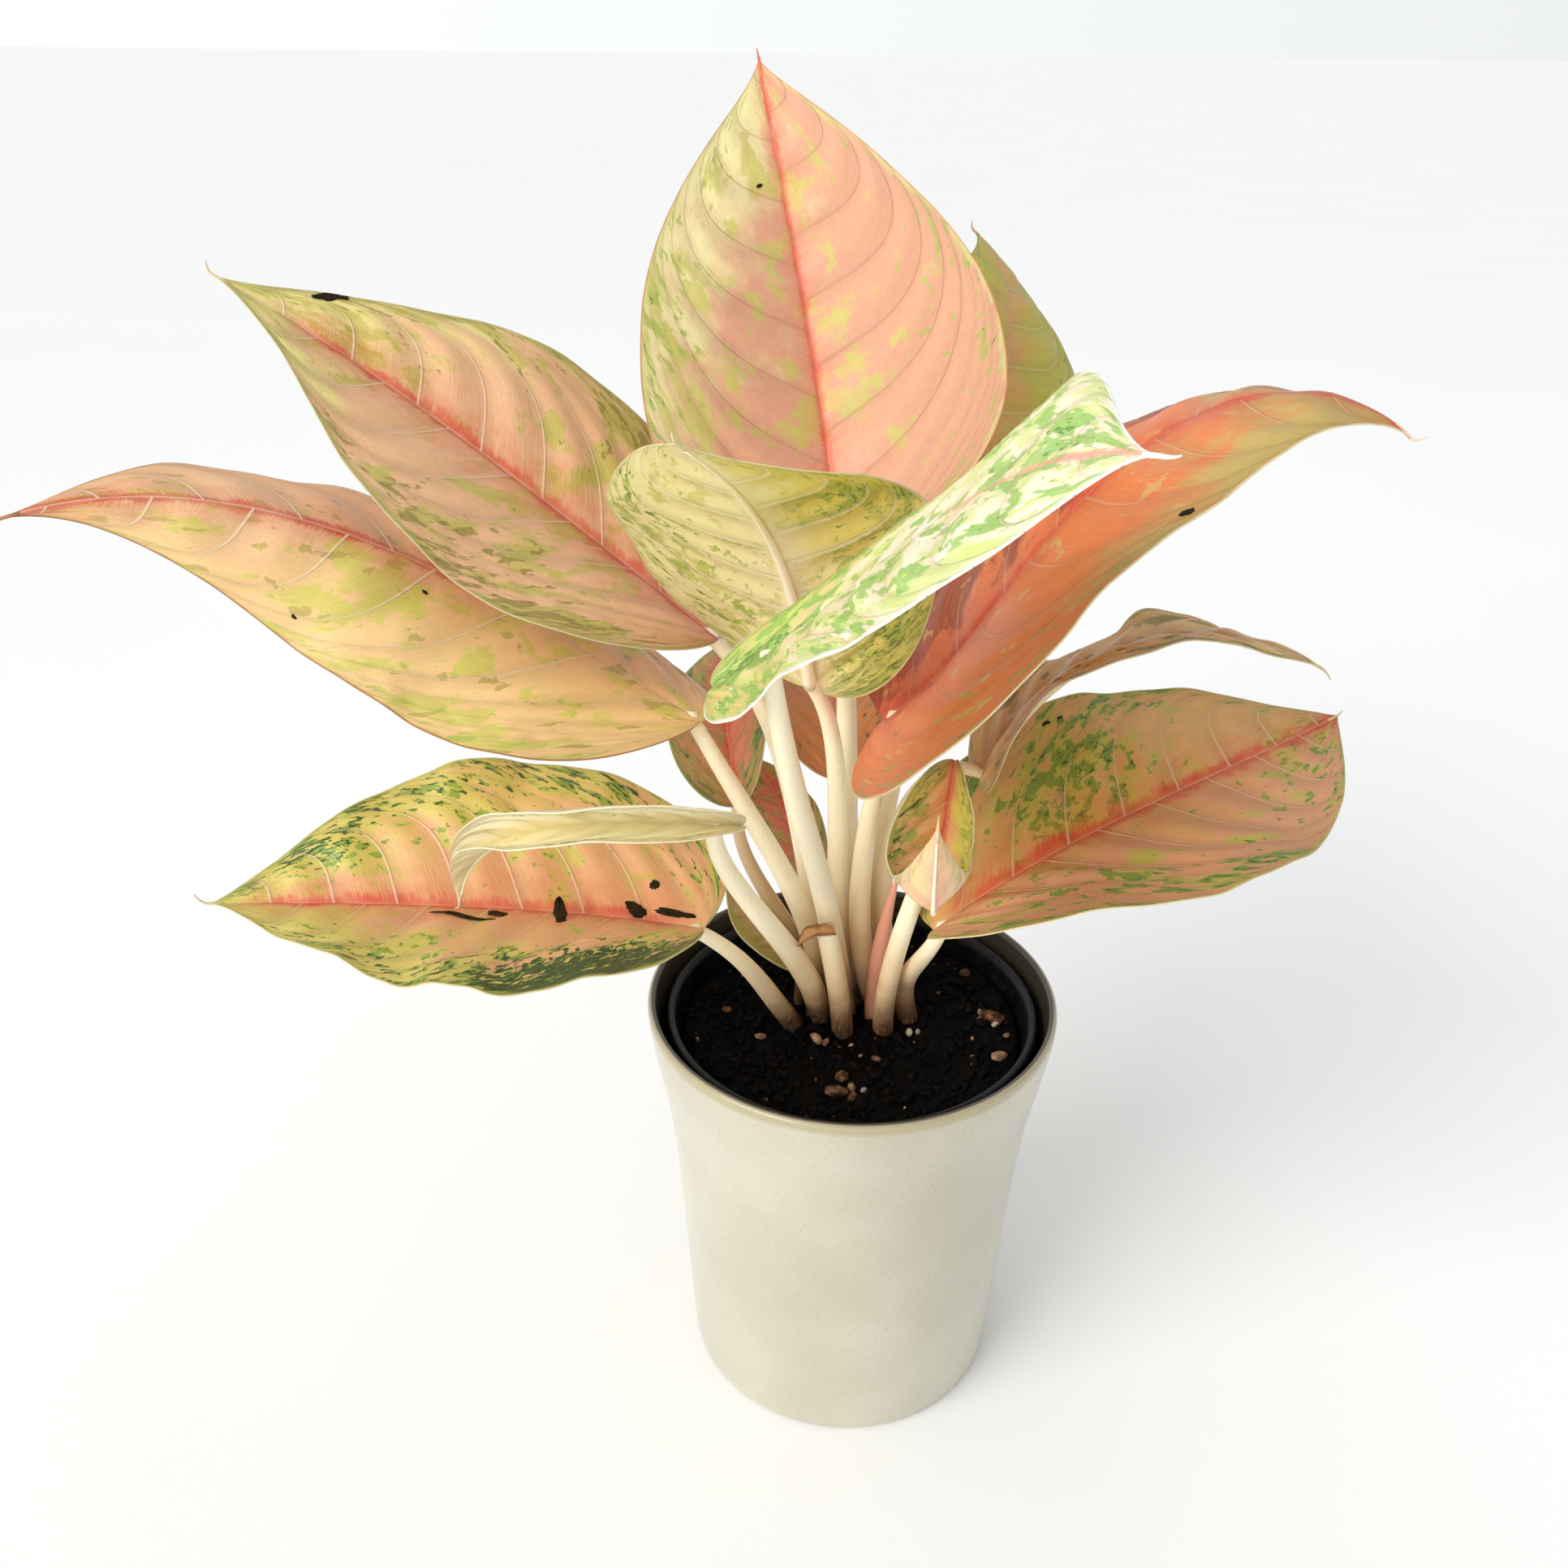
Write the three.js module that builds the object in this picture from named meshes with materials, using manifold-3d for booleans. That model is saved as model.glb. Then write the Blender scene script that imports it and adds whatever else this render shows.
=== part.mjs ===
// A potted aglaonema: sixteen soft leaves on pale stalks, in a glazed pot 140 mm across.
//
// Millimetres, +Z up. The origin is the middle of the pot's underside, and +Y points
// away from a person who faces the plant. A leaf is one smooth sheet with a raised rib
// below, and each leaf and each stalk is a solid of its own.

import * as THREE from 'three';
import { mergeVertices } from 'three/addons/utils/BufferGeometryUtils.js';
import Module from 'manifold-3d';

const wasm = await Module();
wasm.setup();

// Driving dimensions
const CLEAR = 0.3;                 // gap between pieces that touch on the real plant
const HOLE_CLEAR = 0.5;            // the same around a stalk in its hole in the soil
const RIM_RADIUS = 70;             // the glazed pot: 140 mm across its rim
const POT_HEIGHT = 151.6;
const FOOT_RADIUS = 56;
const POT_WALL = 3.4;
const POT_FLOOR = 7;
const LINER_WALL = 1.2;            // the black nursery pot inside it
const LINER_TOP = 146.5;
const LINER_TOP_RADIUS = 61.2;
const LINER_FOOT_RADIUS = 42;
const SOIL_LEVEL = 140;
const SOIL_ROUGHNESS = 1.3;
const STALK_DEPTH = 12;            // how far a stalk stands in the soil
const STALK_SIDES = 10;
const BLADE = 1.1;                 // thickness of a leaf blade
const PLEAT = 0.7;                 // rise and fall between the side veins
const VEIN_SWEEP = 0.15;           // how far a side vein runs forward, as a part of the length

const D2R = Math.PI / 180;
const UP = new THREE.Vector3(0, 0, 1);

// Materials
const paint = (color, roughness) => new THREE.MeshStandardMaterial({ color, roughness, metalness: 0 });
const GLAZE = paint('#dedccf', 0.25);
const BLACK_PLASTIC = paint('#17181a', 0.55);
const SOIL = paint('#15110e', 0.95);
const PALE_STALK = paint('#f1dfbd', 0.45);
const PINK_LEAF = paint('#eea98e', 0.42);
const PEACH_LEAF = paint('#d9ad83', 0.42);
const SALMON_LEAF = paint('#d98663', 0.42);
const GREEN_LEAF = paint('#b9b268', 0.42);
const PALE_LEAF = paint('#f0dfc4', 0.42);
const OLIVE_LEAF = paint('#a99b55', 0.42);
const PINK_SHOOT = paint('#eab99c', 0.45);
const DRY_SHEATH = paint('#b98552', 0.7);

// The leaves. Angles are in degrees, each list at the base, the middle and the tip.
// heading: 0 points right, 90 away, 180 left and 270 towards the viewer.
// rise: climb above level. roll: turn about the rib, right side up.
// fold: angle of each half to the level of the rib, [left base, left tip, right base, right tip].
// curl: how much a half bends across its width, in the same order.
// widest: where the blade is broadest. taper: how drawn out its tip is. lobe: rounding of its base.
// wave: height of the edge's waves on the left and the right, waves along the leaf, phase.
// soil and stalk: where the stalk leaves the soil and the two points that bow it. thick: the
// stalk's radius below and above. joins: how far along the rib the stalk ends.
const LEAVES = [
  { name: 'top', color: PINK_LEAF, at: [-7, 21, 296], length: 178, width: 119,
    heading: [97, 107, 103], rise: [50, 54, 45], roll: [19, 4, 17],
    fold: [26, 14, 29, 17], curl: [-11, -6, -7, -2],
    widest: 0.34, taper: 1.4, lobe: 0.1, wave: [1.2, 1.2, 2.5, 20],
    soil: [2, 25], stalk: [[-4, 25, 191], [-2, 12, 247]], thick: [4.3, 2.4] },
  { name: 'back_right', color: OLIVE_LEAF, at: [24, 66, 281], length: 168, width: 82,
    heading: [44, 76, 114], rise: [51, 35, 18], roll: [-13, -24, -13],
    fold: [20, 8, 4, -8], curl: [-15, -10, -28, -24],
    widest: 0.35, taper: 1.4, lobe: 0.15, wave: [1, 1, 3, 80],
    soil: [12.5, 20], stalk: [[-2, 28, 185], [26, 53, 232]], thick: [3.6, 2.1] },
  { name: 'upper_left', color: PEACH_LEAF, at: [-44, 6, 278], length: 183, width: 103,
    heading: [158, 169, 174], rise: [32, 35, 28], roll: [-4, 22, 14],
    fold: [13, 13, 13, 18], curl: [-20, -6, -20, -2],
    widest: 0.35, taper: 1.4, lobe: 0.06, wave: [1.2, 1.2, 3, 200],
    soil: [-7, 23], stalk: [[-18, 20, 187], [-18, 10, 248]], thick: [3.8, 2.2] },
  { name: 'far_left', color: PEACH_LEAF, at: [-48, -17, 261], length: 210, width: 111,
    heading: [149, 190, 214], rise: [18, 27, -12], roll: [-4, 13, 45],
    fold: [2, -18, -1, -7], curl: [-24, -30, -31, -21],
    widest: 0.31, taper: 1.65, lobe: 0.02, wave: [1.8, 1.8, 3.5, 140],
    soil: [-9, 14], stalk: [[-13, 10, 182], [-30, -21, 221]], thick: [4.2, 2.2] },
  { name: 'lower_left', color: GREEN_LEAF, at: [-48, -31, 197], length: 154, width: 107,
    heading: [164, 183, 179], rise: [-1, 4, -2], roll: [-1, 14, 12],
    fold: [24, 22, 24, 25], curl: [-12, 0, -12, 4],
    widest: 0.39, taper: 1.3, lobe: 0.35, wave: [2, 2, 4, 60],
    soil: [-20, -1], stalk: [[-31, -8, 159], [-33, -26, 182]], thick: [3.6, 2.2] },
  { name: 'rolled_left', joins: 0.07, color: PALE_LEAF, at: [-36, -48, 243], length: 112, width: 36,
    heading: [203, 165, 128], rise: [15, -18, -75], roll: [52, 59, 34],
    fold: [55, 53, 61, 59], curl: [31, 32, 36, 36],
    widest: 0.37, taper: 1.37, lobe: 0.29, wave: [0.8, 0.8, 3, 0],
    soil: [-11, 4.5], stalk: [[-13, -12, 176], [-47, -35, 216]], thick: [4.3, 2.4] },
  { name: 'front_centre', color: OLIVE_LEAF, at: [-15, -1, 265], length: 147, width: 86,
    heading: [250, 255, 242], rise: [66, 42, 29], roll: [6, -15, -3],
    fold: [3, 4, 15, 26], curl: [-21, -5, -19, 3],
    widest: 0.56, taper: 1.5, lobe: 0.26, wave: [1, 1, 3, 300],
    soil: [1, 15], stalk: [[-11, 14, 182], [0, 11, 240]], thick: [4.1, 2.3] },
  { name: 'front_right', joins: 0.12, color: PALE_LEAF, at: [-42, -81, 300], length: 153, width: 76,
    heading: [345, 305, 301], rise: [36, 39, 7], roll: [-8, -21, -44],
    fold: [16, 9, 5, -1], curl: [-18, -7, -26, -17],
    widest: 0.6, taper: 2.0, lobe: 0.39, wave: [1, 1, 3, 30],
    soil: [-2, 6], stalk: [[-11, 11, 204], [-21, -66, 251]], thick: [4.1, 2.4] },
  { name: 'upper_right', color: SALMON_LEAF, at: [7, 3, 253], length: 190, width: 120,
    heading: [-34, -9, -9], rise: [40, 51, -42], roll: [-35, -7, -10],
    fold: [20, -13, 19, -6], curl: [-1, -30, -12, -19],
    widest: 0.41, taper: 1.38, lobe: 0.62, wave: [1.6, 1.6, 3, 250],
    soil: [9.5, 10.5], stalk: [[-3, 8, 170], [2, 3, 218]], thick: [4.1, 2.5] },
  { name: 'waved_right', color: OLIVE_LEAF, at: [37, -7, 237], length: 121, width: 73,
    heading: [16, -3, -13], rise: [73, 23, -27], roll: [9, 17, -2],
    fold: [16, 5, 15, 5], curl: [-18, -12, -15, -12],
    widest: 0.35, taper: 1.37, lobe: 0.17, wave: [5, 1.5, 2.4, 200],
    soil: [19, 14], stalk: [[1, 17, 174], [13, 16, 243]], thick: [3.3, 2.0] },
  { name: 'lower_right', color: PEACH_LEAF, at: [23, -28, 195], length: 160, width: 105,
    heading: [10, 22, 38], rise: [39, 16, 4], roll: [-5, -14, -15],
    fold: [10, 5, 38, 0], curl: [1, -13, 0, -15],
    widest: 0.41, taper: 1.0, lobe: 0.25, wave: [1.6, 1.6, 3.5, 120],
    soil: [20, 3], stalk: [[14, 2, 161], [21, -23, 176]], thick: [3.7, 2.2] },
  { name: 'small_front', color: OLIVE_LEAF, at: [23.5, -49, 265], length: 94, width: 36, small: true,
    heading: [254, 261, 262], rise: [-60, 7, 109], roll: [-3, -6, 0],
    fold: [54, 30, 48, 26], curl: [25, 17, 23, 8],
    widest: 0.35, taper: 0.92, lobe: 0.14, wave: [0.6, 0.6, 2, 0],
    soil: [11, -4], stalk: [[8, -19, 182], [26, -27, 229]], thick: [3.6, 2.0] },
  { name: 'back_left', color: OLIVE_LEAF, at: [-40, 41, 201], length: 93, width: 44, small: true,
    heading: [103, 95, 86], rise: [45, 17, -3], roll: [11, 12, 2],
    fold: [20, 9, 46, 20], curl: [-15, -9, 5, -1],
    widest: 0.4, taper: 1.35, lobe: 0.15, wave: [0.8, 0.8, 2, 40],
    soil: [-14, 28], stalk: [[-18, 30, 161], [-43, 32, 181]], thick: [3.3, 2.0] },
  { name: 'back_centre', color: PEACH_LEAF, at: [-6, 51, 207], length: 89, width: 48, small: true,
    heading: [96, 85, 76], rise: [36, 12, -5], roll: [0, 2, 0],
    fold: [30, 9, 31, 11], curl: [-7, -9, -6, -7],
    widest: 0.4, taper: 1.35, lobe: 0.12, wave: [0.8, 0.8, 2, 160],
    soil: [5, 34], stalk: [[3, 37, 162], [-4, 44, 185]], thick: [3.3, 2.0] },
  { name: 'back_small', color: PEACH_LEAF, at: [-14, 32, 176], length: 57, width: 30, small: true,
    heading: [126, 115, 111], rise: [51, 30, 4], roll: [-6, -8, 5],
    fold: [23, 7, 7, 10], curl: [-13, -11, -25, -9],
    widest: 0.37, taper: 1.1, lobe: 0.14, wave: [0.5, 0.5, 2, 90],
    soil: [-4, 33], stalk: [[-6, 33, 152], [-12, 31, 164]], thick: [2.9, 1.8] },
  { name: 'bract_left', color: OLIVE_LEAF, at: [-17, 11, 152], length: 41, width: 26, small: true,
    heading: [176, 167, 155], rise: [45, 47, 52], roll: [-11, -6, 5],
    fold: [21, -6, 0, -1], curl: [-14, -20, -30, -17],
    widest: 0.41, taper: 1.27, lobe: 0.15, wave: [0.3, 0.3, 2, 0],
    soil: [-17.5, 10.5], stalk: [[-18, 11, 143], [-17, 10, 147]], thick: [2.3, 1.6] },
];

// Solids from geometry, and back
function signedVolume(position, index) {
  let sum = 0;
  const [a, b, c] = [0, 0, 0].map(() => new THREE.Vector3());
  for (let i = 0; i < index.length; i += 3) {
    a.fromBufferAttribute(position, index[i]);
    b.fromBufferAttribute(position, index[i + 1]);
    c.fromBufferAttribute(position, index[i + 2]);
    sum += a.dot(b.clone().cross(c)) / 6;
  }
  return sum;
}

function solidOf(geometry) {
  const plain = geometry.clone();
  plain.deleteAttribute('normal');
  plain.deleteAttribute('uv');
  const merged = mergeVertices(plain, 1e-3);
  const { position } = merged.attributes;
  const index = [];
  for (let i = 0; i < merged.index.count; i += 3) {
    const [a, b, c] = [0, 1, 2].map((k) => merged.index.getX(i + k));
    if (a !== b && b !== c && a !== c) index.push(a, b, c);
  }
  if (signedVolume(position, index) < 0) {
    for (let i = 0; i < index.length; i += 3) [index[i], index[i + 1]] = [index[i + 1], index[i]];
  }
  return new wasm.Manifold(new wasm.Mesh({
    numProp: 3,
    vertProperties: new Float32Array(position.array),
    triVerts: new Uint32Array(index),
  }));
}

function largestBody(solid) {
  const bodies = solid.decompose();
  return bodies.reduce((best, body) => (body.volume() > best.volume() ? body : best));
}

function geometryOf(solid) {
  const mesh = solid.getMesh();
  const geometry = new THREE.BufferGeometry();
  const xyz = new Float32Array(mesh.numVert * 3);
  for (let i = 0; i < mesh.numVert; i += 1) {
    for (let k = 0; k < 3; k += 1) xyz[i * 3 + k] = mesh.vertProperties[i * mesh.numProp + k];
  }
  geometry.setAttribute('position', new THREE.BufferAttribute(xyz, 3));
  geometry.setIndex(new THREE.BufferAttribute(new Uint32Array(mesh.triVerts), 1));
  geometry.computeVertexNormals();
  return geometry;
}

// Turned pieces: a profile of [radius, height] points that starts and ends on the axis
function turned(profile, sides) {
  const points = profile.map(([r, z]) => new THREE.Vector2(r, z));
  return new THREE.LatheGeometry(points, sides).rotateX(Math.PI / 2);
}

// A round stalk along a curve, with its own radius at every step
function stalk(curve, radiusAt, sides, steps) {
  const circle = new THREE.Shape().absarc(0, 0, 1, 0, Math.PI * 2);
  const geometry = new THREE.ExtrudeGeometry(circle, {
    steps, extrudePath: curve, bevelEnabled: false, curveSegments: sides / 2,
  });
  const centres = curve.getSpacedPoints(steps);
  const { position } = geometry.attributes;
  const point = new THREE.Vector3();
  for (let i = 0; i < position.count; i += 1) {
    point.fromBufferAttribute(position, i);
    let nearest = 0;
    centres.forEach((c, k) => {
      if (c.distanceToSquared(point) < centres[nearest].distanceToSquared(point)) nearest = k;
    });
    const radius = radiusAt(nearest / steps);
    point.sub(centres[nearest]).multiplyScalar(radius).add(centres[nearest]);
    position.setXYZ(i, point.x, point.y, point.z);
  }
  return geometry;
}

// The shape of a leaf
const through = ([a, b, c], t) => a * (1 - t) * (1 - 2 * t) + 4 * b * t * (1 - t) + c * t * (2 * t - 1);
const mix = (a, b, t) => a + (b - a) * t;

function outline(leaf, t) {
  if (t < leaf.widest) return (1 - ((leaf.widest - t) / leaf.widest) ** 2.2) ** 0.55;
  return (1 - ((t - leaf.widest) / (1 - leaf.widest)) ** 2) ** leaf.taper;
}

const halfWidth = (leaf, t) => Math.max(0.45, (leaf.width / 2) * outline(leaf, t));

function frameAt(leaf, t) {
  const [heading, rise, roll] = [leaf.heading, leaf.rise, leaf.roll].map((v) => through(v, t) * D2R);
  const level = new THREE.Vector3(Math.cos(heading), Math.sin(heading), 0);
  const along = level.clone().multiplyScalar(Math.cos(rise)).addScaledVector(UP, Math.sin(rise));
  const above = level.clone().multiplyScalar(-Math.sin(rise)).addScaledVector(UP, Math.cos(rise));
  const right = new THREE.Vector3(Math.sin(heading), -Math.cos(heading), 0);
  const side = right.clone().multiplyScalar(Math.cos(roll)).addScaledVector(above, Math.sin(roll));
  const normal = above.multiplyScalar(Math.cos(roll)).addScaledVector(right, -Math.sin(roll));
  return { along, side, normal };
}

function midrib(leaf) {
  const STEPS = 96;
  const points = [new THREE.Vector3(...leaf.at)];
  for (let i = 0; i < STEPS; i += 1) {
    const { along } = frameAt(leaf, (i + 0.5) / STEPS);
    points.push(points[i].clone().addScaledVector(along, leaf.length / STEPS));
  }
  return (t) => {
    const x = Math.min(t * STEPS, STEPS - 1e-6);
    return points[Math.floor(x)].clone().lerp(points[Math.floor(x) + 1], x % 1);
  };
}

// A point of the blade and its normal: t runs from base to tip, s from -1 at the left
// margin through 0 at the rib to 1 at the right margin, and pleat is -1, 0 or 1
function bladePoint(leaf, rib, t, s, pleat) {
  const { along, side, normal } = frameAt(leaf, t);
  const half = halfWidth(leaf, t);
  const reach = Math.abs(s);
  const hand = s < 0 ? -1 : 1;
  const first = s < 0 ? 0 : 2;
  const fold = mix(leaf.fold[first], leaf.fold[first + 1], t) * D2R;
  const bend = (mix(leaf.curl[first], leaf.curl[first + 1], t) || 0.01) * D2R;
  const tilt = fold + bend * reach;
  const out = (half * (Math.sin(tilt) - Math.sin(fold))) / bend;
  const lift = (half * (Math.cos(fold) - Math.cos(tilt))) / bend;
  const back = leaf.lobe * half * reach * Math.max(0, 1 - t / leaf.widest);
  const [leftSize, rightSize, count, phase] = leaf.wave;
  const ripple = (s < 0 ? leftSize : rightSize) * reach ** 2 * Math.sin(Math.PI * t)
    * Math.sin(2 * Math.PI * count * t + (phase + (s < 0 ? 75 : 0)) * D2R);
  const relief = pleat * (PLEAT / 2) * Math.sin(Math.PI * reach ** 0.8) * Math.min(1, half / 20);
  const face = s === 0 ? normal.clone()
    : normal.clone().multiplyScalar(Math.cos(tilt)).addScaledVector(side, -hand * Math.sin(tilt));
  const point = rib(t).addScaledVector(side, hand * out).addScaledVector(normal, lift)
    .addScaledVector(along, -back).addScaledVector(face, ripple + relief);
  return { point, face };
}

function bladeGeometry(leaf) {
  const rib = midrib(leaf);
  const outer = leaf.small ? [0.5, 1] : [0.4, 0.72, 1];
  const veins = leaf.small ? 6 : 10;
  const rows = [0.002, 0.012, 0.04];
  for (let i = 0; i <= veins; i += 1) rows.push(mix(0.09, 0.92, i / veins));
  rows.push(0.965, 1);
  const columns = [...outer.map((s) => -s).reverse(), 'left of rib', 0, 'right of rib', ...outer];
  const upper = [], lower = [];
  rows.forEach((row, i) => {
    const pleat = i < 4 || i > rows.length - 4 ? 0 : (i % 2) * 2 - 1;
    const ribHalf = Math.min(0.3, (leaf.thick[1] * (1 - 0.7 * row)) / halfWidth(leaf, row));
    columns.forEach((column) => {
      const s = { 'left of rib': -ribHalf, 'right of rib': ribHalf }[column] ?? column;
      const t = row + VEIN_SWEEP * Math.abs(s) ** 1.3 * 4 * row * (1 - row) ** 2;
      const { point, face } = bladePoint(leaf, rib, t, s, pleat);
      const thick = BLADE * mix(1, 0.62, Math.max(0, (t - 0.8) / 0.2));
      const ridge = s === 0 ? leaf.thick[1] * (0.15 + 1.2 * (1 - t) ** 1.3) : 0;
      upper.push(point.clone().addScaledVector(face, thick / 2));
      lower.push(point.clone().addScaledVector(face, -thick / 2 - ridge));
    });
  });
  const across = columns.length, count = upper.length;
  const index = [];
  const quad = (a, b, c, d) => index.push(a, b, c, a, c, d);
  for (let i = 0; i + 1 < rows.length; i += 1) {
    for (let j = 0; j + 1 < across; j += 1) {
      const a = i * across + j, b = a + 1, c = b + across, d = a + across;
      quad(a, b, c, d);
      index.push(count + a, count + c, count + b, count + a, count + d, count + c);
    }
    const l = i * across, r = l + across - 1;
    quad(l, l + across, count + l + across, count + l);
    quad(r, count + r, count + r + across, r + across);
  }
  for (let j = 0; j + 1 < across; j += 1) {
    const tip = (rows.length - 1) * across + j;
    quad(j, count + j, count + j + 1, j + 1);
    quad(tip, tip + 1, count + tip + 1, count + tip);
  }
  const geometry = new THREE.BufferGeometry();
  geometry.setFromPoints([...upper, ...lower]);
  geometry.setIndex(index);
  return geometry;
}

// The line of a stalk: straight up out of the soil, then one bow to where it ends
function stalkLine([x, y], [first, second], end, extra) {
  const ground = new THREE.Vector3(x, y, SOIL_LEVEL - 1);
  const [a, b] = [first, second].map((p) => new THREE.Vector3(...p));
  const line = new THREE.CurvePath();
  line.add(new THREE.LineCurve3(ground.clone().addScaledVector(UP, -STALK_DEPTH - extra), ground));
  line.add(new THREE.CubicBezierCurve3(ground, a, b, end));
  if (extra) line.add(new THREE.LineCurve3(end, end.clone().sub(b).setLength(extra).add(end)));
  return line;
}

// A leaf's stalk ends just below the rib, a little way along it. Grown by the clearance
// it is the tool that cuts its hole in the soil and its seat under the blade.
function stalkSolid(leaf, grow) {
  const joins = leaf.joins ?? 0.02;
  const { normal } = frameAt(leaf, joins);
  const end = midrib(leaf)(joins).addScaledVector(normal, -leaf.thick[1] / 2);
  const line = stalkLine(leaf.soil, leaf.stalk, end, grow);
  const steps = Math.max(6, Math.round(line.getLength() / 12));
  const radiusAt = (t) => mix(leaf.thick[0], leaf.thick[1], t ** 1.6) + grow;
  return solidOf(stalk(line, radiusAt, STALK_SIDES, steps));
}

// Glazed pot: near straight below, flared to a flat lip
const potProfile = [[0, 0], [FOOT_RADIUS - 3.4, 0], [FOOT_RADIUS - 1.4, 0.9], [FOOT_RADIUS - 0.2, 3.4],
  [57.2, 22], [58.9, 52], [60.7, 82], [62.6, 103], [64.6, 117], [67.4, 132], [69.3, 143],
  [RIM_RADIUS, 149.4], [RIM_RADIUS - 0.6, POT_HEIGHT - 0.5], [RIM_RADIUS - 1.5, POT_HEIGHT],
  [RIM_RADIUS - 2.6, POT_HEIGHT], [RIM_RADIUS - POT_WALL, POT_HEIGHT - 1.2],
  [69.3 - POT_WALL, 142], [67.4 - POT_WALL, 131], [62.6 - POT_WALL, 102], [58.9 - POT_WALL, 52],
  [FOOT_RADIUS - POT_WALL - 0.4, POT_FLOOR + 5], [FOOT_RADIUS - POT_WALL - 5, POT_FLOOR], [0, POT_FLOOR]];
const pot = solidOf(turned(potProfile, 36));

// Nursery pot: a thin black liner with a rolled lip, standing on the pot's floor
const LINER_FOOT = POT_FLOOR + CLEAR;
const linerRadius = (z) => mix(LINER_FOOT_RADIUS, LINER_TOP_RADIUS, (z - LINER_FOOT) / (LINER_TOP - LINER_FOOT));
const linerProfile = [[0, LINER_FOOT], [LINER_FOOT_RADIUS, LINER_FOOT],
  [linerRadius(LINER_TOP - 7), LINER_TOP - 7], [LINER_TOP_RADIUS + 1.3, LINER_TOP - 6],
  [LINER_TOP_RADIUS + 1.5, LINER_TOP - 0.6], [LINER_TOP_RADIUS + 0.9, LINER_TOP],
  [LINER_TOP_RADIUS - 0.5, LINER_TOP], [LINER_TOP_RADIUS - LINER_WALL, LINER_TOP - 1.6],
  [LINER_FOOT_RADIUS - LINER_WALL, LINER_FOOT + LINER_WALL], [0, LINER_FOOT + LINER_WALL]];
const liner = solidOf(turned(linerProfile, 30));

// Soil: a turned core whose top is roughened by a formula, with crumbs fused onto it
let seed = 7;
const random = () => {
  seed = (seed * 16807) % 2147483647;
  return seed / 2147483647;
};
const soilGap = LINER_WALL + CLEAR + 0.6;
const soilFoot = LINER_FOOT + LINER_WALL + CLEAR;
const soilEdge = linerRadius(SOIL_LEVEL) - soilGap;
const soilProfile = [[0, soilFoot], [linerRadius(soilFoot) - soilGap, soilFoot], [soilEdge, SOIL_LEVEL - 4]];
for (let r = soilEdge - 1; r > 2; r -= 10) soilProfile.push([r, SOIL_LEVEL - 2]);
soilProfile.push([0, SOIL_LEVEL - 2]);
const soilGeometry = turned(soilProfile, 28);
const soilPoints = soilGeometry.attributes.position;
for (let i = 0; i < soilPoints.count; i += 1) {
  const [x, y, z] = [soilPoints.getX(i), soilPoints.getY(i), soilPoints.getZ(i)];
  if (z > SOIL_LEVEL - 3) {
    const rough = Math.sin(x * 0.31 + y * 0.17) + Math.sin(y * 0.41 - x * 0.23 + 1) + Math.sin(x * 0.11 - y * 0.29);
    soilPoints.setZ(i, z + (SOIL_ROUGHNESS * rough) / 3);
  }
}
let soil = solidOf(soilGeometry);
// crumbs of bark and grit that show in the photograph, each [x, y, size], and some between them
const crumbs = [[49, 2, 6], [52, -8, 4], [47, -19, 5], [42, 28, 4], [-41, 5, 3.5], [-30, -10, 3.5],
  [-12, -13, 5], [8, -22, 4], [-4, -36, 6], [20, -8, 3]];
for (let i = 0; i < 6; i += 1) {
  const angle = random() * 2 * Math.PI, reach = 26 + 27 * random();
  crumbs.push([reach * Math.cos(angle), reach * Math.sin(angle), 2 + 2.5 * random()]);
}
crumbs.forEach(([x, y, size]) => {
  const crumb = new THREE.IcosahedronGeometry(size / 2, 0);
  crumb.rotateX(random() * 3).rotateZ(random() * 3).scale(1.25, 1, 0.75);
  crumb.translate(x, y, SOIL_LEVEL - 1.6);
  soil = soil.add(solidOf(crumb));
});

// A young shoot and an old cut stub among the stalks, with a dried sheath on the stub
const SHOOT_SOIL = [7.7, 3.2];
const STUB_SOIL = [-3, -4.5];
const shootEnd = new THREE.Vector3(14, 2, 197);
const stubEnd = new THREE.Vector3(-9.7, -11.5, 184);
function shootSolid(grow) {
  const line = stalkLine(SHOOT_SOIL, [[7.5, 3.5, 158], [10, 2.5, 178]], shootEnd, grow);
  const radiusAt = (t) => 2.4 + Math.sin(Math.PI * t) - 1.9 * t ** 2 + grow;
  return solidOf(stalk(line, radiusAt, STALK_SIDES, 8));
}
function stubSolid(grow) {
  const line = stalkLine(STUB_SOIL, [[-4, -6.5, 153], [-6.5, -9.5, 168]], stubEnd, grow);
  return solidOf(stalk(line, (t) => 3.8 - 0.4 * t + grow, STALK_SIDES, 5));
}
const sheath = { at: [-6.5, -14.5, 184.6], length: 14, width: 10, small: true, thick: [1, 0.6],
  heading: [180, 195, 210], rise: [10, -10, -50], roll: [-10, -15, -20],
  fold: [10, 10, 10, 10], curl: [20, 20, 20, 20], widest: 0.45, taper: 1.2, lobe: 0, wave: [0.4, 0.4, 2, 0] };

// Assembly: every stalk is kept clear of the ones before it, and each blade of its own stalk
const group = new THREE.Group();
const add = (name, solid, material) => {
  const mesh = new THREE.Mesh(geometryOf(solid), material);
  mesh.name = name;
  group.add(mesh);
};

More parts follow.
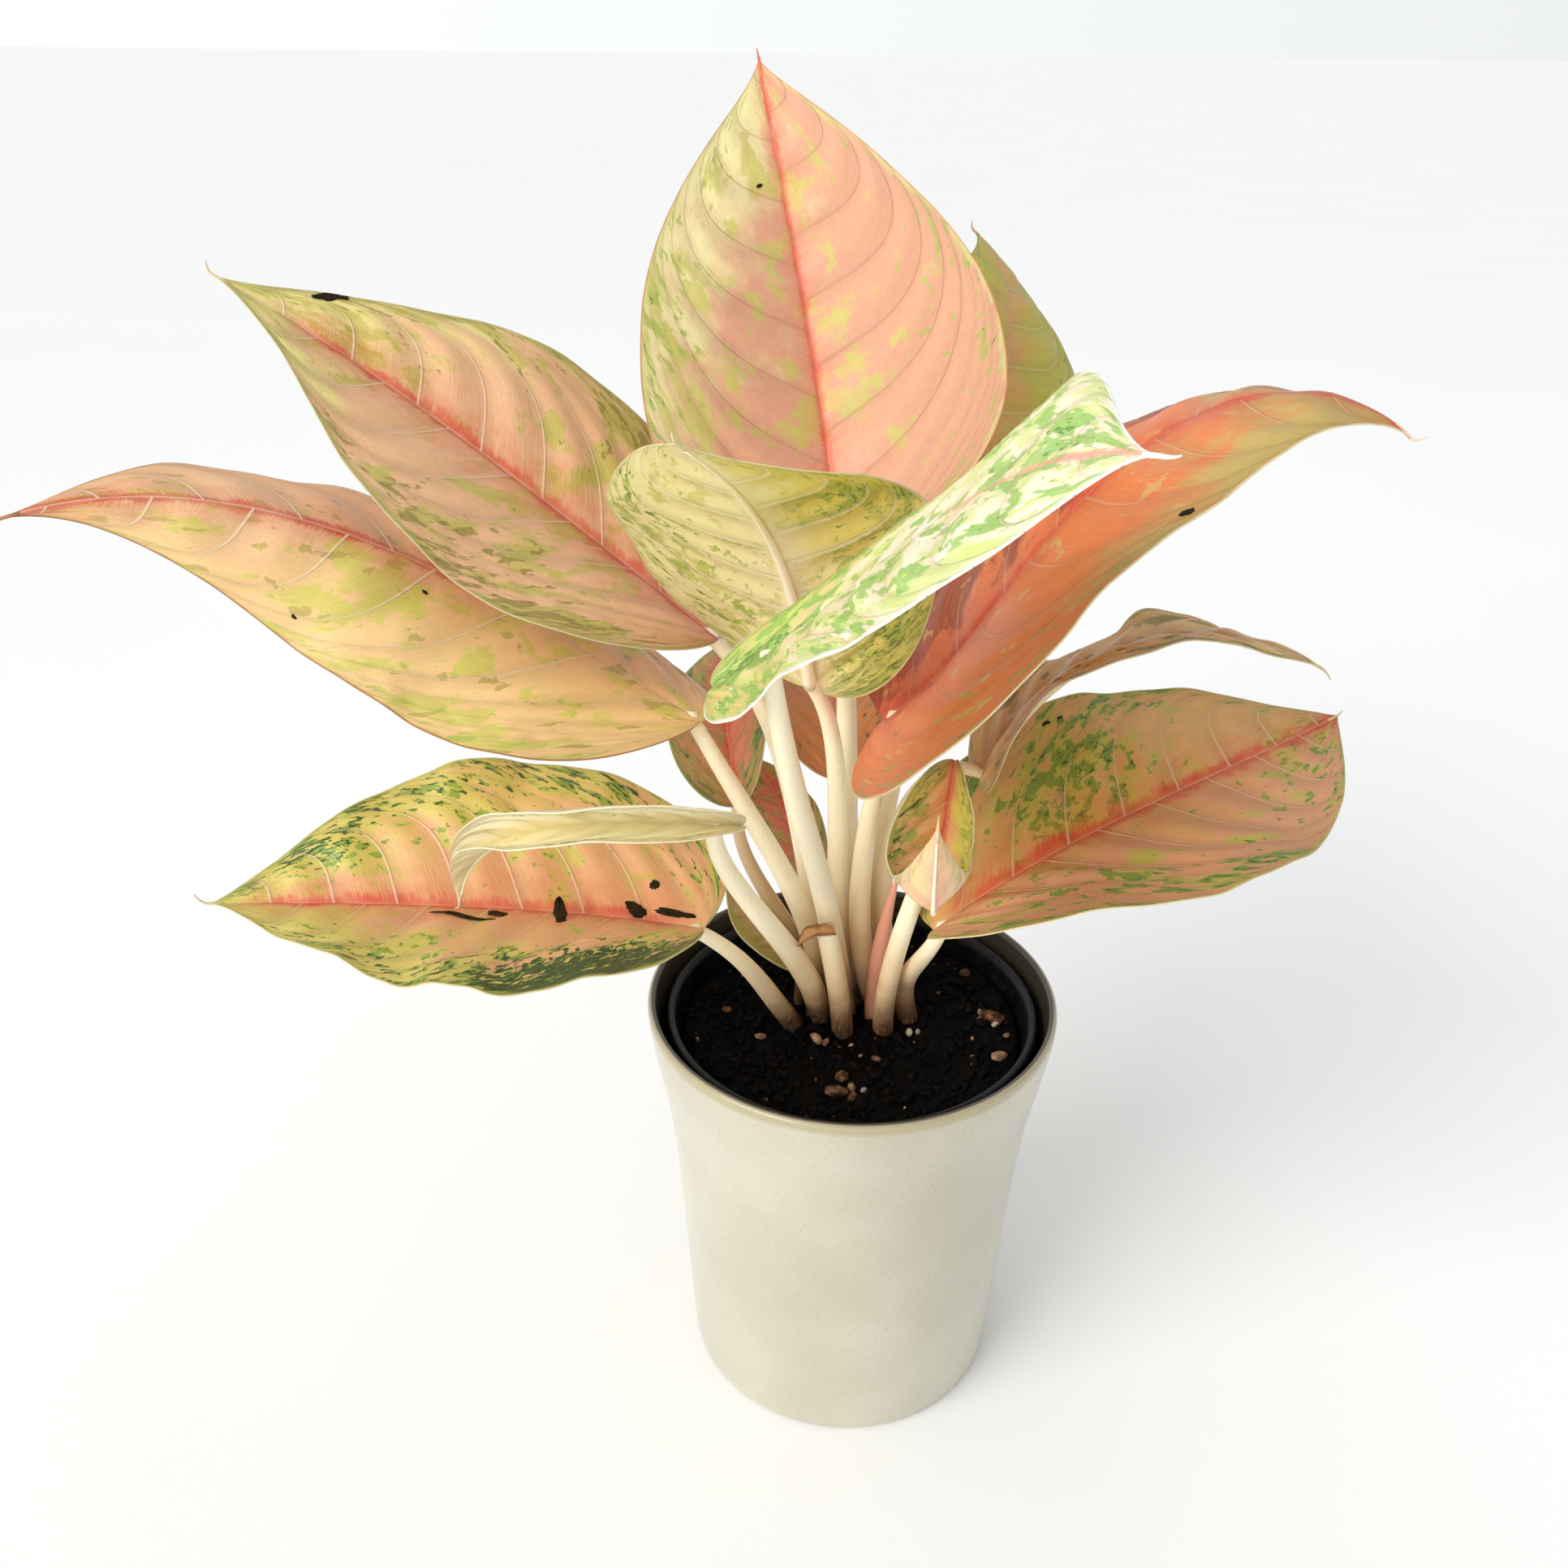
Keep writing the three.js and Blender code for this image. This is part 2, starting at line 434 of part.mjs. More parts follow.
const stalks = [];
const keepClear = (solid, others) => others.reduce((rest, other) => rest.subtract(other), solid);
LEAVES.forEach((leaf) => {
  const trimmed = largestBody(keepClear(stalkSolid(leaf, 0), stalks.map(({ wide }) => wide)));
  stalks.push({ leaf, solid: trimmed, wide: stalkSolid(leaf, CLEAR) });
});
const wideStalks = stalks.map(({ wide }) => wide);
const shootTrimmed = largestBody(keepClear(shootSolid(0), wideStalks));
const stubTrimmed = largestBody(keepClear(stubSolid(0), wideStalks));
const holes = [...LEAVES, { soil: SHOOT_SOIL, thick: [2.8] }, { soil: STUB_SOIL, thick: [3.8] }];
soil = largestBody(keepClear(soil, holes.map(({ soil: [x, y], thick: [radius] }) => {
  const wide = radius + HOLE_CLEAR, deep = STALK_DEPTH + 1 + CLEAR + SOIL_ROUGHNESS;
  const hole = new THREE.CylinderGeometry(wide, wide, deep, STALK_SIDES).rotateX(Math.PI / 2);
  return solidOf(hole.translate(x, y, SOIL_LEVEL - STALK_DEPTH - 1 - CLEAR + deep / 2));
})));

add('glazed_pot', pot, GLAZE);
add('nursery_pot', liner, BLACK_PLASTIC);
add('potting_soil', soil, SOIL);
stalks.forEach(({ leaf, solid, wide }) => {
  add(`stalk_${leaf.name}`, solid, PALE_STALK);
  add(`leaf_${leaf.name}`, largestBody(solidOf(bladeGeometry(leaf)).subtract(wide)), leaf.color);
});
add('young_shoot', shootTrimmed, PINK_SHOOT);
add('old_stub', stubTrimmed, PALE_STALK);
add('dried_sheath', largestBody(solidOf(bladeGeometry(sheath)).subtract(stubSolid(CLEAR))), DRY_SHEATH);

export default group;
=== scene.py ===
# %% [markdown]
# # A potted aglaonema
# This lesson dresses a plain CAD model of a potted plant: sixteen soft, mottled leaves on
# pale stalks, in a cream glazed pot. The CAD model is the frame, and it fixes every size
# and place. Each piece below takes the place of one CAD node and has the same form, with
# the finer shape and the colours that the CAD model leaves out.

# %% Load the frame
import math
import random

import bmesh
import bpy
from mathutils import Matrix, Vector, noise
from mathutils.geometry import interpolate_bezier


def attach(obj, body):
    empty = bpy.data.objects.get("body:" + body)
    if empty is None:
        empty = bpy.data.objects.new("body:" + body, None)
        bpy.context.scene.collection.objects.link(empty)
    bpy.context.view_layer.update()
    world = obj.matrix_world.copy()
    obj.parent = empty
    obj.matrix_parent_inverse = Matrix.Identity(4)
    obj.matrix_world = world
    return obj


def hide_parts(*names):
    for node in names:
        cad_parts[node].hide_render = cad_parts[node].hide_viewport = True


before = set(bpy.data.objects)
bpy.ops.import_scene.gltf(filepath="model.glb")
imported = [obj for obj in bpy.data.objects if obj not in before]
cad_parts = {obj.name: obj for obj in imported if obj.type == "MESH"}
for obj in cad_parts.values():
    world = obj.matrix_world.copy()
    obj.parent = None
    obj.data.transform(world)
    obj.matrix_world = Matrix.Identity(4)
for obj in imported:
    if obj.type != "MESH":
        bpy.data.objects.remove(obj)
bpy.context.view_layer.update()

# %% [markdown]
# Blender works in metres and the plant is measured in millimetres, so lengths below are
# in millimetres and become metres when a mesh is finished. The pot's few driving sizes
# are the same as in the CAD model.

# %% Units and driving sizes
MM = 0.001
RIM_RADIUS = 70           # glazed pot
POT_HEIGHT = 151.6
FOOT_RADIUS = 56
POT_WALL = 3.4
POT_FLOOR = 7
CLEAR = 0.3               # between the two pots, and between the nursery pot and its soil
LINER_FOOT = POT_FLOOR + CLEAR
LINER_TOP = 146.5         # black nursery pot
LINER_FOOT_RADIUS = 42
LINER_TOP_RADIUS = 61.2
LINER_WALL = 1.2
SOIL_FOOT = LINER_FOOT + LINER_WALL + CLEAR
SOIL_TOP = 138
SOIL_LINE = 139           # where the stalks come out of the soil
STALK_START = 127         # the buried end of every stalk


def mix(a, b, t):
    return a + (b - a) * t


# %% [markdown]
# Shapes are edited as a bmesh, which becomes a mesh and then an object that the scene
# shows. Every piece ends the same way: its mesh gets its materials and smooth shading, it
# rides on the plant's one body, and it takes over its CAD node. One helper does this.

# %% Finish a piece
def made_mesh(name, bm):
    mesh = bpy.data.meshes.new(name)
    bm.to_mesh(mesh)
    bm.free()
    return mesh


def pour(mesh, bm):
    bm.from_mesh(mesh)
    bpy.data.meshes.remove(mesh)


def show(name, data):
    shown = bpy.data.objects.new(name, data)
    bpy.context.scene.collection.objects.link(shown)
    return shown


def finish_piece(name, bm, materials, node):
    mesh = made_mesh(name, bm)
    mesh.transform(Matrix.Scale(MM, 4))
    for face in mesh.polygons:
        face.use_smooth = True
    for material in materials:
        mesh.materials.append(material)
    piece = show(name, mesh)
    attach(piece, "root")
    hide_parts(node)
    return piece


# %% [markdown]
# Materials are node trees. A tree of many small sums is hard to read when each sum is a
# line of its own, so a `Wire` stands for what comes out of a node: adding or multiplying
# wires puts in the Math nodes, and `ease` fades from 0 to 1 between two values.

# %% Wires
class Wire:
    def __init__(self, tree, socket):
        self.tree, self.socket = tree, socket

    def calc(self, operation, other=0.0, swap=False):
        values = (other, self) if swap else (self, other)
        return put(self.tree, "ShaderNodeMath", dict(enumerate(values)), operation=operation)

    def __add__(self, other):
        return self.calc("ADD", other)

    def __sub__(self, other):
        return self.calc("SUBTRACT", other)

    def __mul__(self, other):
        return self.calc("MULTIPLY", other)

    def __truediv__(self, other):
        return self.calc("DIVIDE", other)

    def __rsub__(self, other):
        return self.calc("SUBTRACT", other, swap=True)

    def __rtruediv__(self, other):
        return self.calc("DIVIDE", other, swap=True)

    def ease(self, low, high):
        sockets = {"Value": self, "From Min": low, "From Max": high}
        return put(self.tree, "ShaderNodeMapRange", sockets, interpolation_type="SMOOTHSTEP")


# %% [markdown]
# A node's socket takes a wire, a number or a colour code. Blender counts colours in linear
# light, and the codes are for the screen, so `colour` turns one into the other. `put` adds
# a node, feeds its sockets and returns the wire that comes out of it.

# %% Nodes
def colour(code):
    parts = [int(code[i:i + 2], 16) / 255 for i in (1, 3, 5)]
    return (*[c / 12.92 if c <= 0.04045 else ((c + 0.055) / 1.055) ** 2.4 for c in parts], 1)


def feed(socket, value):
    if isinstance(value, Wire):
        value.tree.links.new(value.socket, socket)
    else:
        socket.default_value = colour(value) if isinstance(value, str) else value


def add_node(tree, kind, sockets, **settings):
    node = tree.nodes.new(kind)
    for key, value in settings.items():
        setattr(node, key, value)
    for key, value in sockets.items():
        feed(node.inputs[key], value)
    return node


def put(tree, kind, sockets, output=0, **settings):
    return Wire(tree, add_node(tree, kind, sockets, **settings).outputs[output])


# %% [markdown]
# With wires, a material reads from top to bottom like a recipe: `grain` is noise, `lay`
# lays one colour over another through a mask, and `dress` gives the finished colour,
# roughness and relief to the material's shader.

# %% Helpers for a recipe
def lay(amount, under, over):
    return put(amount.tree, "ShaderNodeMix", {0: amount, 6: under, 7: over}, 2, data_type="RGBA")


def vector(x, y, z=0.0):
    return put(x.tree, "ShaderNodeCombineXYZ", {0: x, 1: y, 2: z})


def split(place):
    node = add_node(place.tree, "ShaderNodeSeparateXYZ", {0: place})
    return [Wire(place.tree, output) for output in node.outputs]


def stretched(place, scale, turn=(0, 0, 0)):
    return put(place.tree, "ShaderNodeMapping", {"Vector": place, "Rotation": turn, "Scale": scale})


def grain(place, scale, detail=3.0, roughness=0.5):
    sockets = {"Vector": place, "Scale": scale, "Detail": detail, "Roughness": roughness}
    return put(place.tree, "ShaderNodeTexNoise", sockets, "Fac")


def object_place(tree):
    return put(tree, "ShaderNodeTexCoord", {}, "Object")


def new_material(name, **settings):
    material = bpy.data.materials.new(name)
    material.use_nodes = True
    for key, value in settings.items():
        shader(material)[key.replace("_", " ").title().replace("Ior", "IOR")].default_value = value
    return material


def shader(material):
    return material.node_tree.nodes["Principled BSDF"].inputs


def dress(material, paint, roughness, height, depth, strength):
    sockets = {"Height": height, "Distance": depth * MM, "Strength": strength}
    feed(shader(material)["Base Color"], paint)
    feed(shader(material)["Roughness"], roughness)
    feed(shader(material)["Normal"], put(material.node_tree, "ShaderNodeBump", sockets))
    return material


# %% [markdown]
# The glazed pot is turned clay: near straight below, flared above, with a rounded lip and
# a flat foot. Clay is thrown on a wheel, so here its half outline is spun round the axis,
# and a subdivision surface rounds it.

# %% Spin an outline
def spun(profile, steps):
    bm = bmesh.new()
    points = [bm.verts.new((radius, 0, height)) for radius, height in profile]
    line = [bm.edges.new(pair) for pair in zip(points, points[1:])]
    bmesh.ops.spin(bm, geom=points + line, cent=(0, 0, 0), axis=(0, 0, 1),
                   angle=math.tau, steps=steps, use_merge=True)
    bmesh.ops.remove_doubles(bm, verts=bm.verts, dist=0.001)
    bmesh.ops.recalc_face_normals(bm, faces=bm.faces)
    return bm


def soften(piece, levels):
    rounding = piece.modifiers.new("rounding", "SUBSURF")
    rounding.levels = rounding.render_levels = levels
    return piece


# %% [markdown]
# The glaze is a cream, slightly grey stoneware glaze. It is glossy, so it has a clear coat,
# and it is never one flat colour: it drifts a little in very soft clouds, carries fine
# grain, tiny pits and a few scratches, and turns khaki in a band just below the lip. The
# wall inside the pot is painted near black, as shade.

# %% Glaze
def glaze_material():
    material = new_material("cream_glaze", coat_weight=0.7, coat_roughness=0.06)
    place = object_place(material.node_tree)
    x, y, z = split(place)
    clouds = grain(place, 16.0)
    dust = grain(place, 1500.0, 3.0, 0.7)
    pits = grain(place, 800.0, 2.0).ease(0.7, 0.74)
    scuffs = grain(stretched(place, (1, 14, 1), (0.9, 0.3, 0.5)), 90.0, 2.0).ease(0.72, 0.76)
    base = lay(clouds.ease(0.3, 0.72), "#B5AF9A", "#C4BFAC")
    base = lay(dust.ease(0.48, 0.7) * 0.42, base, "#9C937B")
    base = lay(pits * 0.55, base, "#8E7F66")
    base = lay(scuffs * clouds.ease(0.5, 0.6) * 0.4, base, "#A99C7E")

    # khaki band just below the bright lip; the wall inside gets khaki, then near black as painted shade
    wobble = grain(place, 70.0) * (2.2 * MM) + z
    band = wobble.ease((POT_HEIGHT - 3.4) * MM, (POT_HEIGHT - 1.2) * MM)
    lip = z.ease((POT_HEIGHT + 0.1) * MM, (POT_HEIGHT - 0.5) * MM)
    reach = put(x.tree, "ShaderNodeVectorMath", {0: vector(x, y)}, "Value", operation="LENGTH")
    inside = (z * 0.16 + (RIM_RADIUS - 25.6) * MM - reach).ease(-0.4 * MM, 0.6 * MM)
    base = lay((band * lip * 0.8).calc("MAXIMUM", inside * 0.5), base, "#A59A74")
    # painted shade: the wall inside the pot goes near black
    base = lay(inside * 0.92, base, "#231F17")
    surface = dust * 0.04 + grain(place, 34.0, 2.0) - pits * 0.12
    return dress(material, base, dust * 0.2 + 0.26, surface, 0.8, 0.22)


GLAZE = glaze_material()
print("glaze:", len(GLAZE.node_tree.nodes), "nodes")

# %% [markdown]
# The pot's outline starts in the middle of the underside, climbs the wall, turns over the
# lip and goes down inside. Points that lie close together keep an edge tight when the
# subdivision surface rounds the rest.

# %% Glazed pot
POT_SIDE = [(57.2, 22), (58.9, 52), (60.7, 82), (62.6, 103), (64.6, 117), (67.4, 132), (69.3, 143)]
POT_INSIDE = [(69.3, 142), (67.4, 131), (62.6, 102), (58.9, 52)]
pot_outline = [
    (0, 0), (FOOT_RADIUS - 8, 0), (FOOT_RADIUS - 3.4, 0), (FOOT_RADIUS - 1.2, 0.7),
    (FOOT_RADIUS - 0.1, 3), *POT_SIDE, (RIM_RADIUS, POT_HEIGHT - 2.2),
    (RIM_RADIUS - 0.4, POT_HEIGHT - 0.3), (RIM_RADIUS - 1.6, POT_HEIGHT),
    (RIM_RADIUS - 2.6, POT_HEIGHT - 0.1), (RIM_RADIUS - POT_WALL, POT_HEIGHT - 1.4),
    *[(radius - POT_WALL, height) for radius, height in POT_INSIDE],
    (FOOT_RADIUS - POT_WALL - 0.4, POT_FLOOR + 5), (FOOT_RADIUS - POT_WALL - 5, POT_FLOOR),
    (0, POT_FLOOR)]
pot = soften(finish_piece("glazed_pot_body", spun(pot_outline, 72), [GLAZE], "glazed_pot"), 2)
print("pot:", len(pot.data.polygons), "faces before rounding")

# %% [markdown]
# The nursery pot is thin black plastic from a mould. Only its rolled lip shows, as a fine
# bluish arc above the soil, but it is built whole. It is spun as the glazed pot is.
# Moulded plastic is satin, with faint scratches.

# %% Nursery pot
def plastic_material():
    material = new_material("black_plastic", specular_ior_level=0.35)
    worn = grain(object_place(material.node_tree), 220.0, 5.0, 0.7)
    paint = lay(worn.ease(0.4, 0.75), "#060709", "#16191F")
    return dress(material, paint, worn * 0.35 + 0.2, worn, 0.1, 0.3)


def liner_radius(height):
    return mix(LINER_FOOT_RADIUS, LINER_TOP_RADIUS, (height - LINER_FOOT) / (LINER_TOP - LINER_FOOT))


LIP = LINER_TOP_RADIUS + 2.3      # the rolled lip's outer radius
liner_outline = [
    (0, LINER_FOOT), (LINER_FOOT_RADIUS - 2, LINER_FOOT), (LINER_FOOT_RADIUS, LINER_FOOT + 0.4),
    (liner_radius(LINER_TOP - 7), LINER_TOP - 7), (LIP - 0.4, LINER_TOP - 6),
    (LIP, LINER_TOP - 5), (LIP, LINER_TOP - 0.8),
    (LIP - 0.6, LINER_TOP), (LINER_TOP_RADIUS - 0.5, LINER_TOP),
    (LINER_TOP_RADIUS - LINER_WALL, LINER_TOP - 1.6),
    (LINER_FOOT_RADIUS - LINER_WALL, LINER_FOOT + LINER_WALL), (0, LINER_FOOT + LINER_WALL)]
liner = soften(finish_piece("nursery_pot_shell", spun(liner_outline, 64), [plastic_material()],
                            "nursery_pot"), 1)
print("nursery pot:", len(liner.data.polygons), "faces before rounding")

# %% [markdown]
# Potting soil is near black peat with bits of bark, grit and white perlite. All of them
# are dull, and lumpy at every size, so they share one recipe, each between two colours of
# its own.

# %% Soil materials
def crumb_material(name, dark, light, roughness=0.95):
    material = new_material(name, specular_ior_level=0.1)
    lumps = grain(object_place(material.node_tree), 420.0, 6.0, 0.7)
    paint = lay(lumps.ease(0.35, 0.7), dark, light)
    return dress(material, paint, lumps * -0.25 + roughness, lumps, 0.6, 0.8)


SOIL_MATERIALS = [
    crumb_material("peat", "#020101", "#090705"),
    crumb_material("peat_crumb", "#030202", "#130E0A"),
    crumb_material("bark", "#2A1A12", "#8A6248"),
    crumb_material("perlite", "#7E705E", "#D2C4AE"),
    crumb_material("grit", "#6E5038", "#BC9A76")]
PEAT, CRUMB, BARK, PERLITE, GRIT = range(5)
print("soil materials:", *[material.name for material in SOIL_MATERIALS])

# %% [markdown]
# The soil's body is a spun disc, and fractal noise lifts and sinks its top. A displacement
# in the material could do that too, but here the crumbs have to know how high the soil is.

# %% Soil body
SOIL_RINGS = 56
soil_edge = liner_radius(SOIL_TOP) - LINER_WALL - 0.9


def soil_lift(x, y):
    broad = math.sin(x * 0.31 + y * 0.17) + math.sin(x * 0.11 - y * 0.29)
    broad += math.sin(y * 0.41 - x * 0.23 + 1)
    fine = noise.fractal(Vector((x, y, 0)) * 0.35, 0.8, 2.0, 5)
    return 0.43 * broad + 0.9 * fine


soil_outline = [(0, SOIL_FOOT), (liner_radius(SOIL_FOOT) - 2.1, SOIL_FOOT), (soil_edge, SOIL_TOP - 2)]
soil_outline += [(soil_edge * (1 - ring / SOIL_RINGS), SOIL_TOP) for ring in range(1, SOIL_RINGS + 1)]
soil = spun(soil_outline, 3 * SOIL_RINGS)
for vert in soil.verts:
    if vert.co.z > SOIL_TOP - 1:
        vert.co.z += soil_lift(vert.co.x, vert.co.y)
print("soil: raised by", round(soil_lift(0, 0), 2), "mm in the middle")

# %% [markdown]
# Crumbs are small rough stones, each a squashed icosphere turned at random and half sunk.
# The ones the eye picks out have their own places. The rest are strewn by a seeded
# chance, so that every run gives the same soil.

# %% Crumbs
chance = random.Random(11)


def crumb_shape(number):
    bm = bmesh.new()
    bmesh.ops.create_icosphere(bm, subdivisions=1, radius=0.5)
    for vert in bm.verts:
        vert.co *= 1 + 0.3 * noise.noise(vert.co * 1.7 + Vector((number, 0, 0)) * 9)
    return made_mesh("crumb", bm)


CRUMB_SHAPES = [crumb_shape(number) for number in range(12)]


def add_crumb(x, y, size, material, sink=0.3):
    turn = Matrix.Rotation(chance.uniform(0, 6), 4, "Z") @ Matrix.Rotation(chance.uniform(0, 6), 4, "X")
    stretch = Matrix.Diagonal((chance.uniform(1, 1.5), 1, chance.uniform(0.55, 0.8))).to_4x4()
    place = Matrix.Translation((x, y, SOIL_TOP + soil_lift(x, y) + size * sink * 0.5))
    shape = chance.choice(CRUMB_SHAPES).copy()
    shape.transform(place @ turn @ stretch @ Matrix.Scale(size, 4))
    for face in shape.polygons:
        face.material_index = material
    pour(shape, soil)


PLACED_CRUMBS = [
    (49, 3, 7.5, BARK), (46, 6, 3, PERLITE), (45, 3, 2.6, GRIT), (50, -1, 3, PERLITE),
    (53, -7, 3.4, GRIT), (49, -19, 5, GRIT), (51, -17, 2.4, PERLITE), (43, 30, 3.6, BARK),
    (-43, 6, 3.2, BARK), (-31, -8, 3.6, GRIT), (-12, -11, 4.6, GRIT), (-9, -12, 3.4, GRIT),
    (8, -20, 3.6, BARK), (20, -5, 3.4, PERLITE), (23, -5, 2.2, PERLITE), (-4, -31, 5, BARK),
    (-1, -35, 3.2, GRIT), (-6, -37, 6.5, BARK), (-1, -39, 4, BARK), (3, -36, 2.2, PERLITE)]
CRUMBS = 900
CRUMB_SHARES = {CRUMB: 94, BARK: 4, PERLITE: 0.5, GRIT: 1.5}
for x, y, size, material in PLACED_CRUMBS:
    add_crumb(x, y, size, material, 0.5)
for _ in range(CRUMBS):
    angle, reach = chance.uniform(0, math.tau), (soil_edge - 2) * math.sqrt(chance.random())
    material = chance.choices(list(CRUMB_SHARES), list(CRUMB_SHARES.values()))[0]
    size = chance.uniform(1.2, 3.8) if material == CRUMB else chance.uniform(0.8, 1.9)
    add_crumb(reach * math.cos(angle), reach * math.sin(angle), size, material)
soil_piece = finish_piece("soil_and_crumbs", soil, SOIL_MATERIALS, "potting_soil")
print("soil:", len(soil_piece.data.polygons), "faces")

# %% [markdown]
# ## The leaves
# All sixteen leaves share one form. A midrib is a line that turns and climbs as it goes
# from base to tip, and two halves spread from it, folded up and curled back. The values
# below are the CAD model's own. Angles are in degrees, listed at the base, the middle and
# the tip: heading (0 points right, 90 away, 180 left), rise above level, and roll about
# the rib. Fold and curl are (left base, left tip, right base, right tip), and wave is
# (left height, right height, waves, start). The stalk leaves the soil at `soil`, bows
# through two points, and is as thick as `thick` says, at the soil and at the leaf.

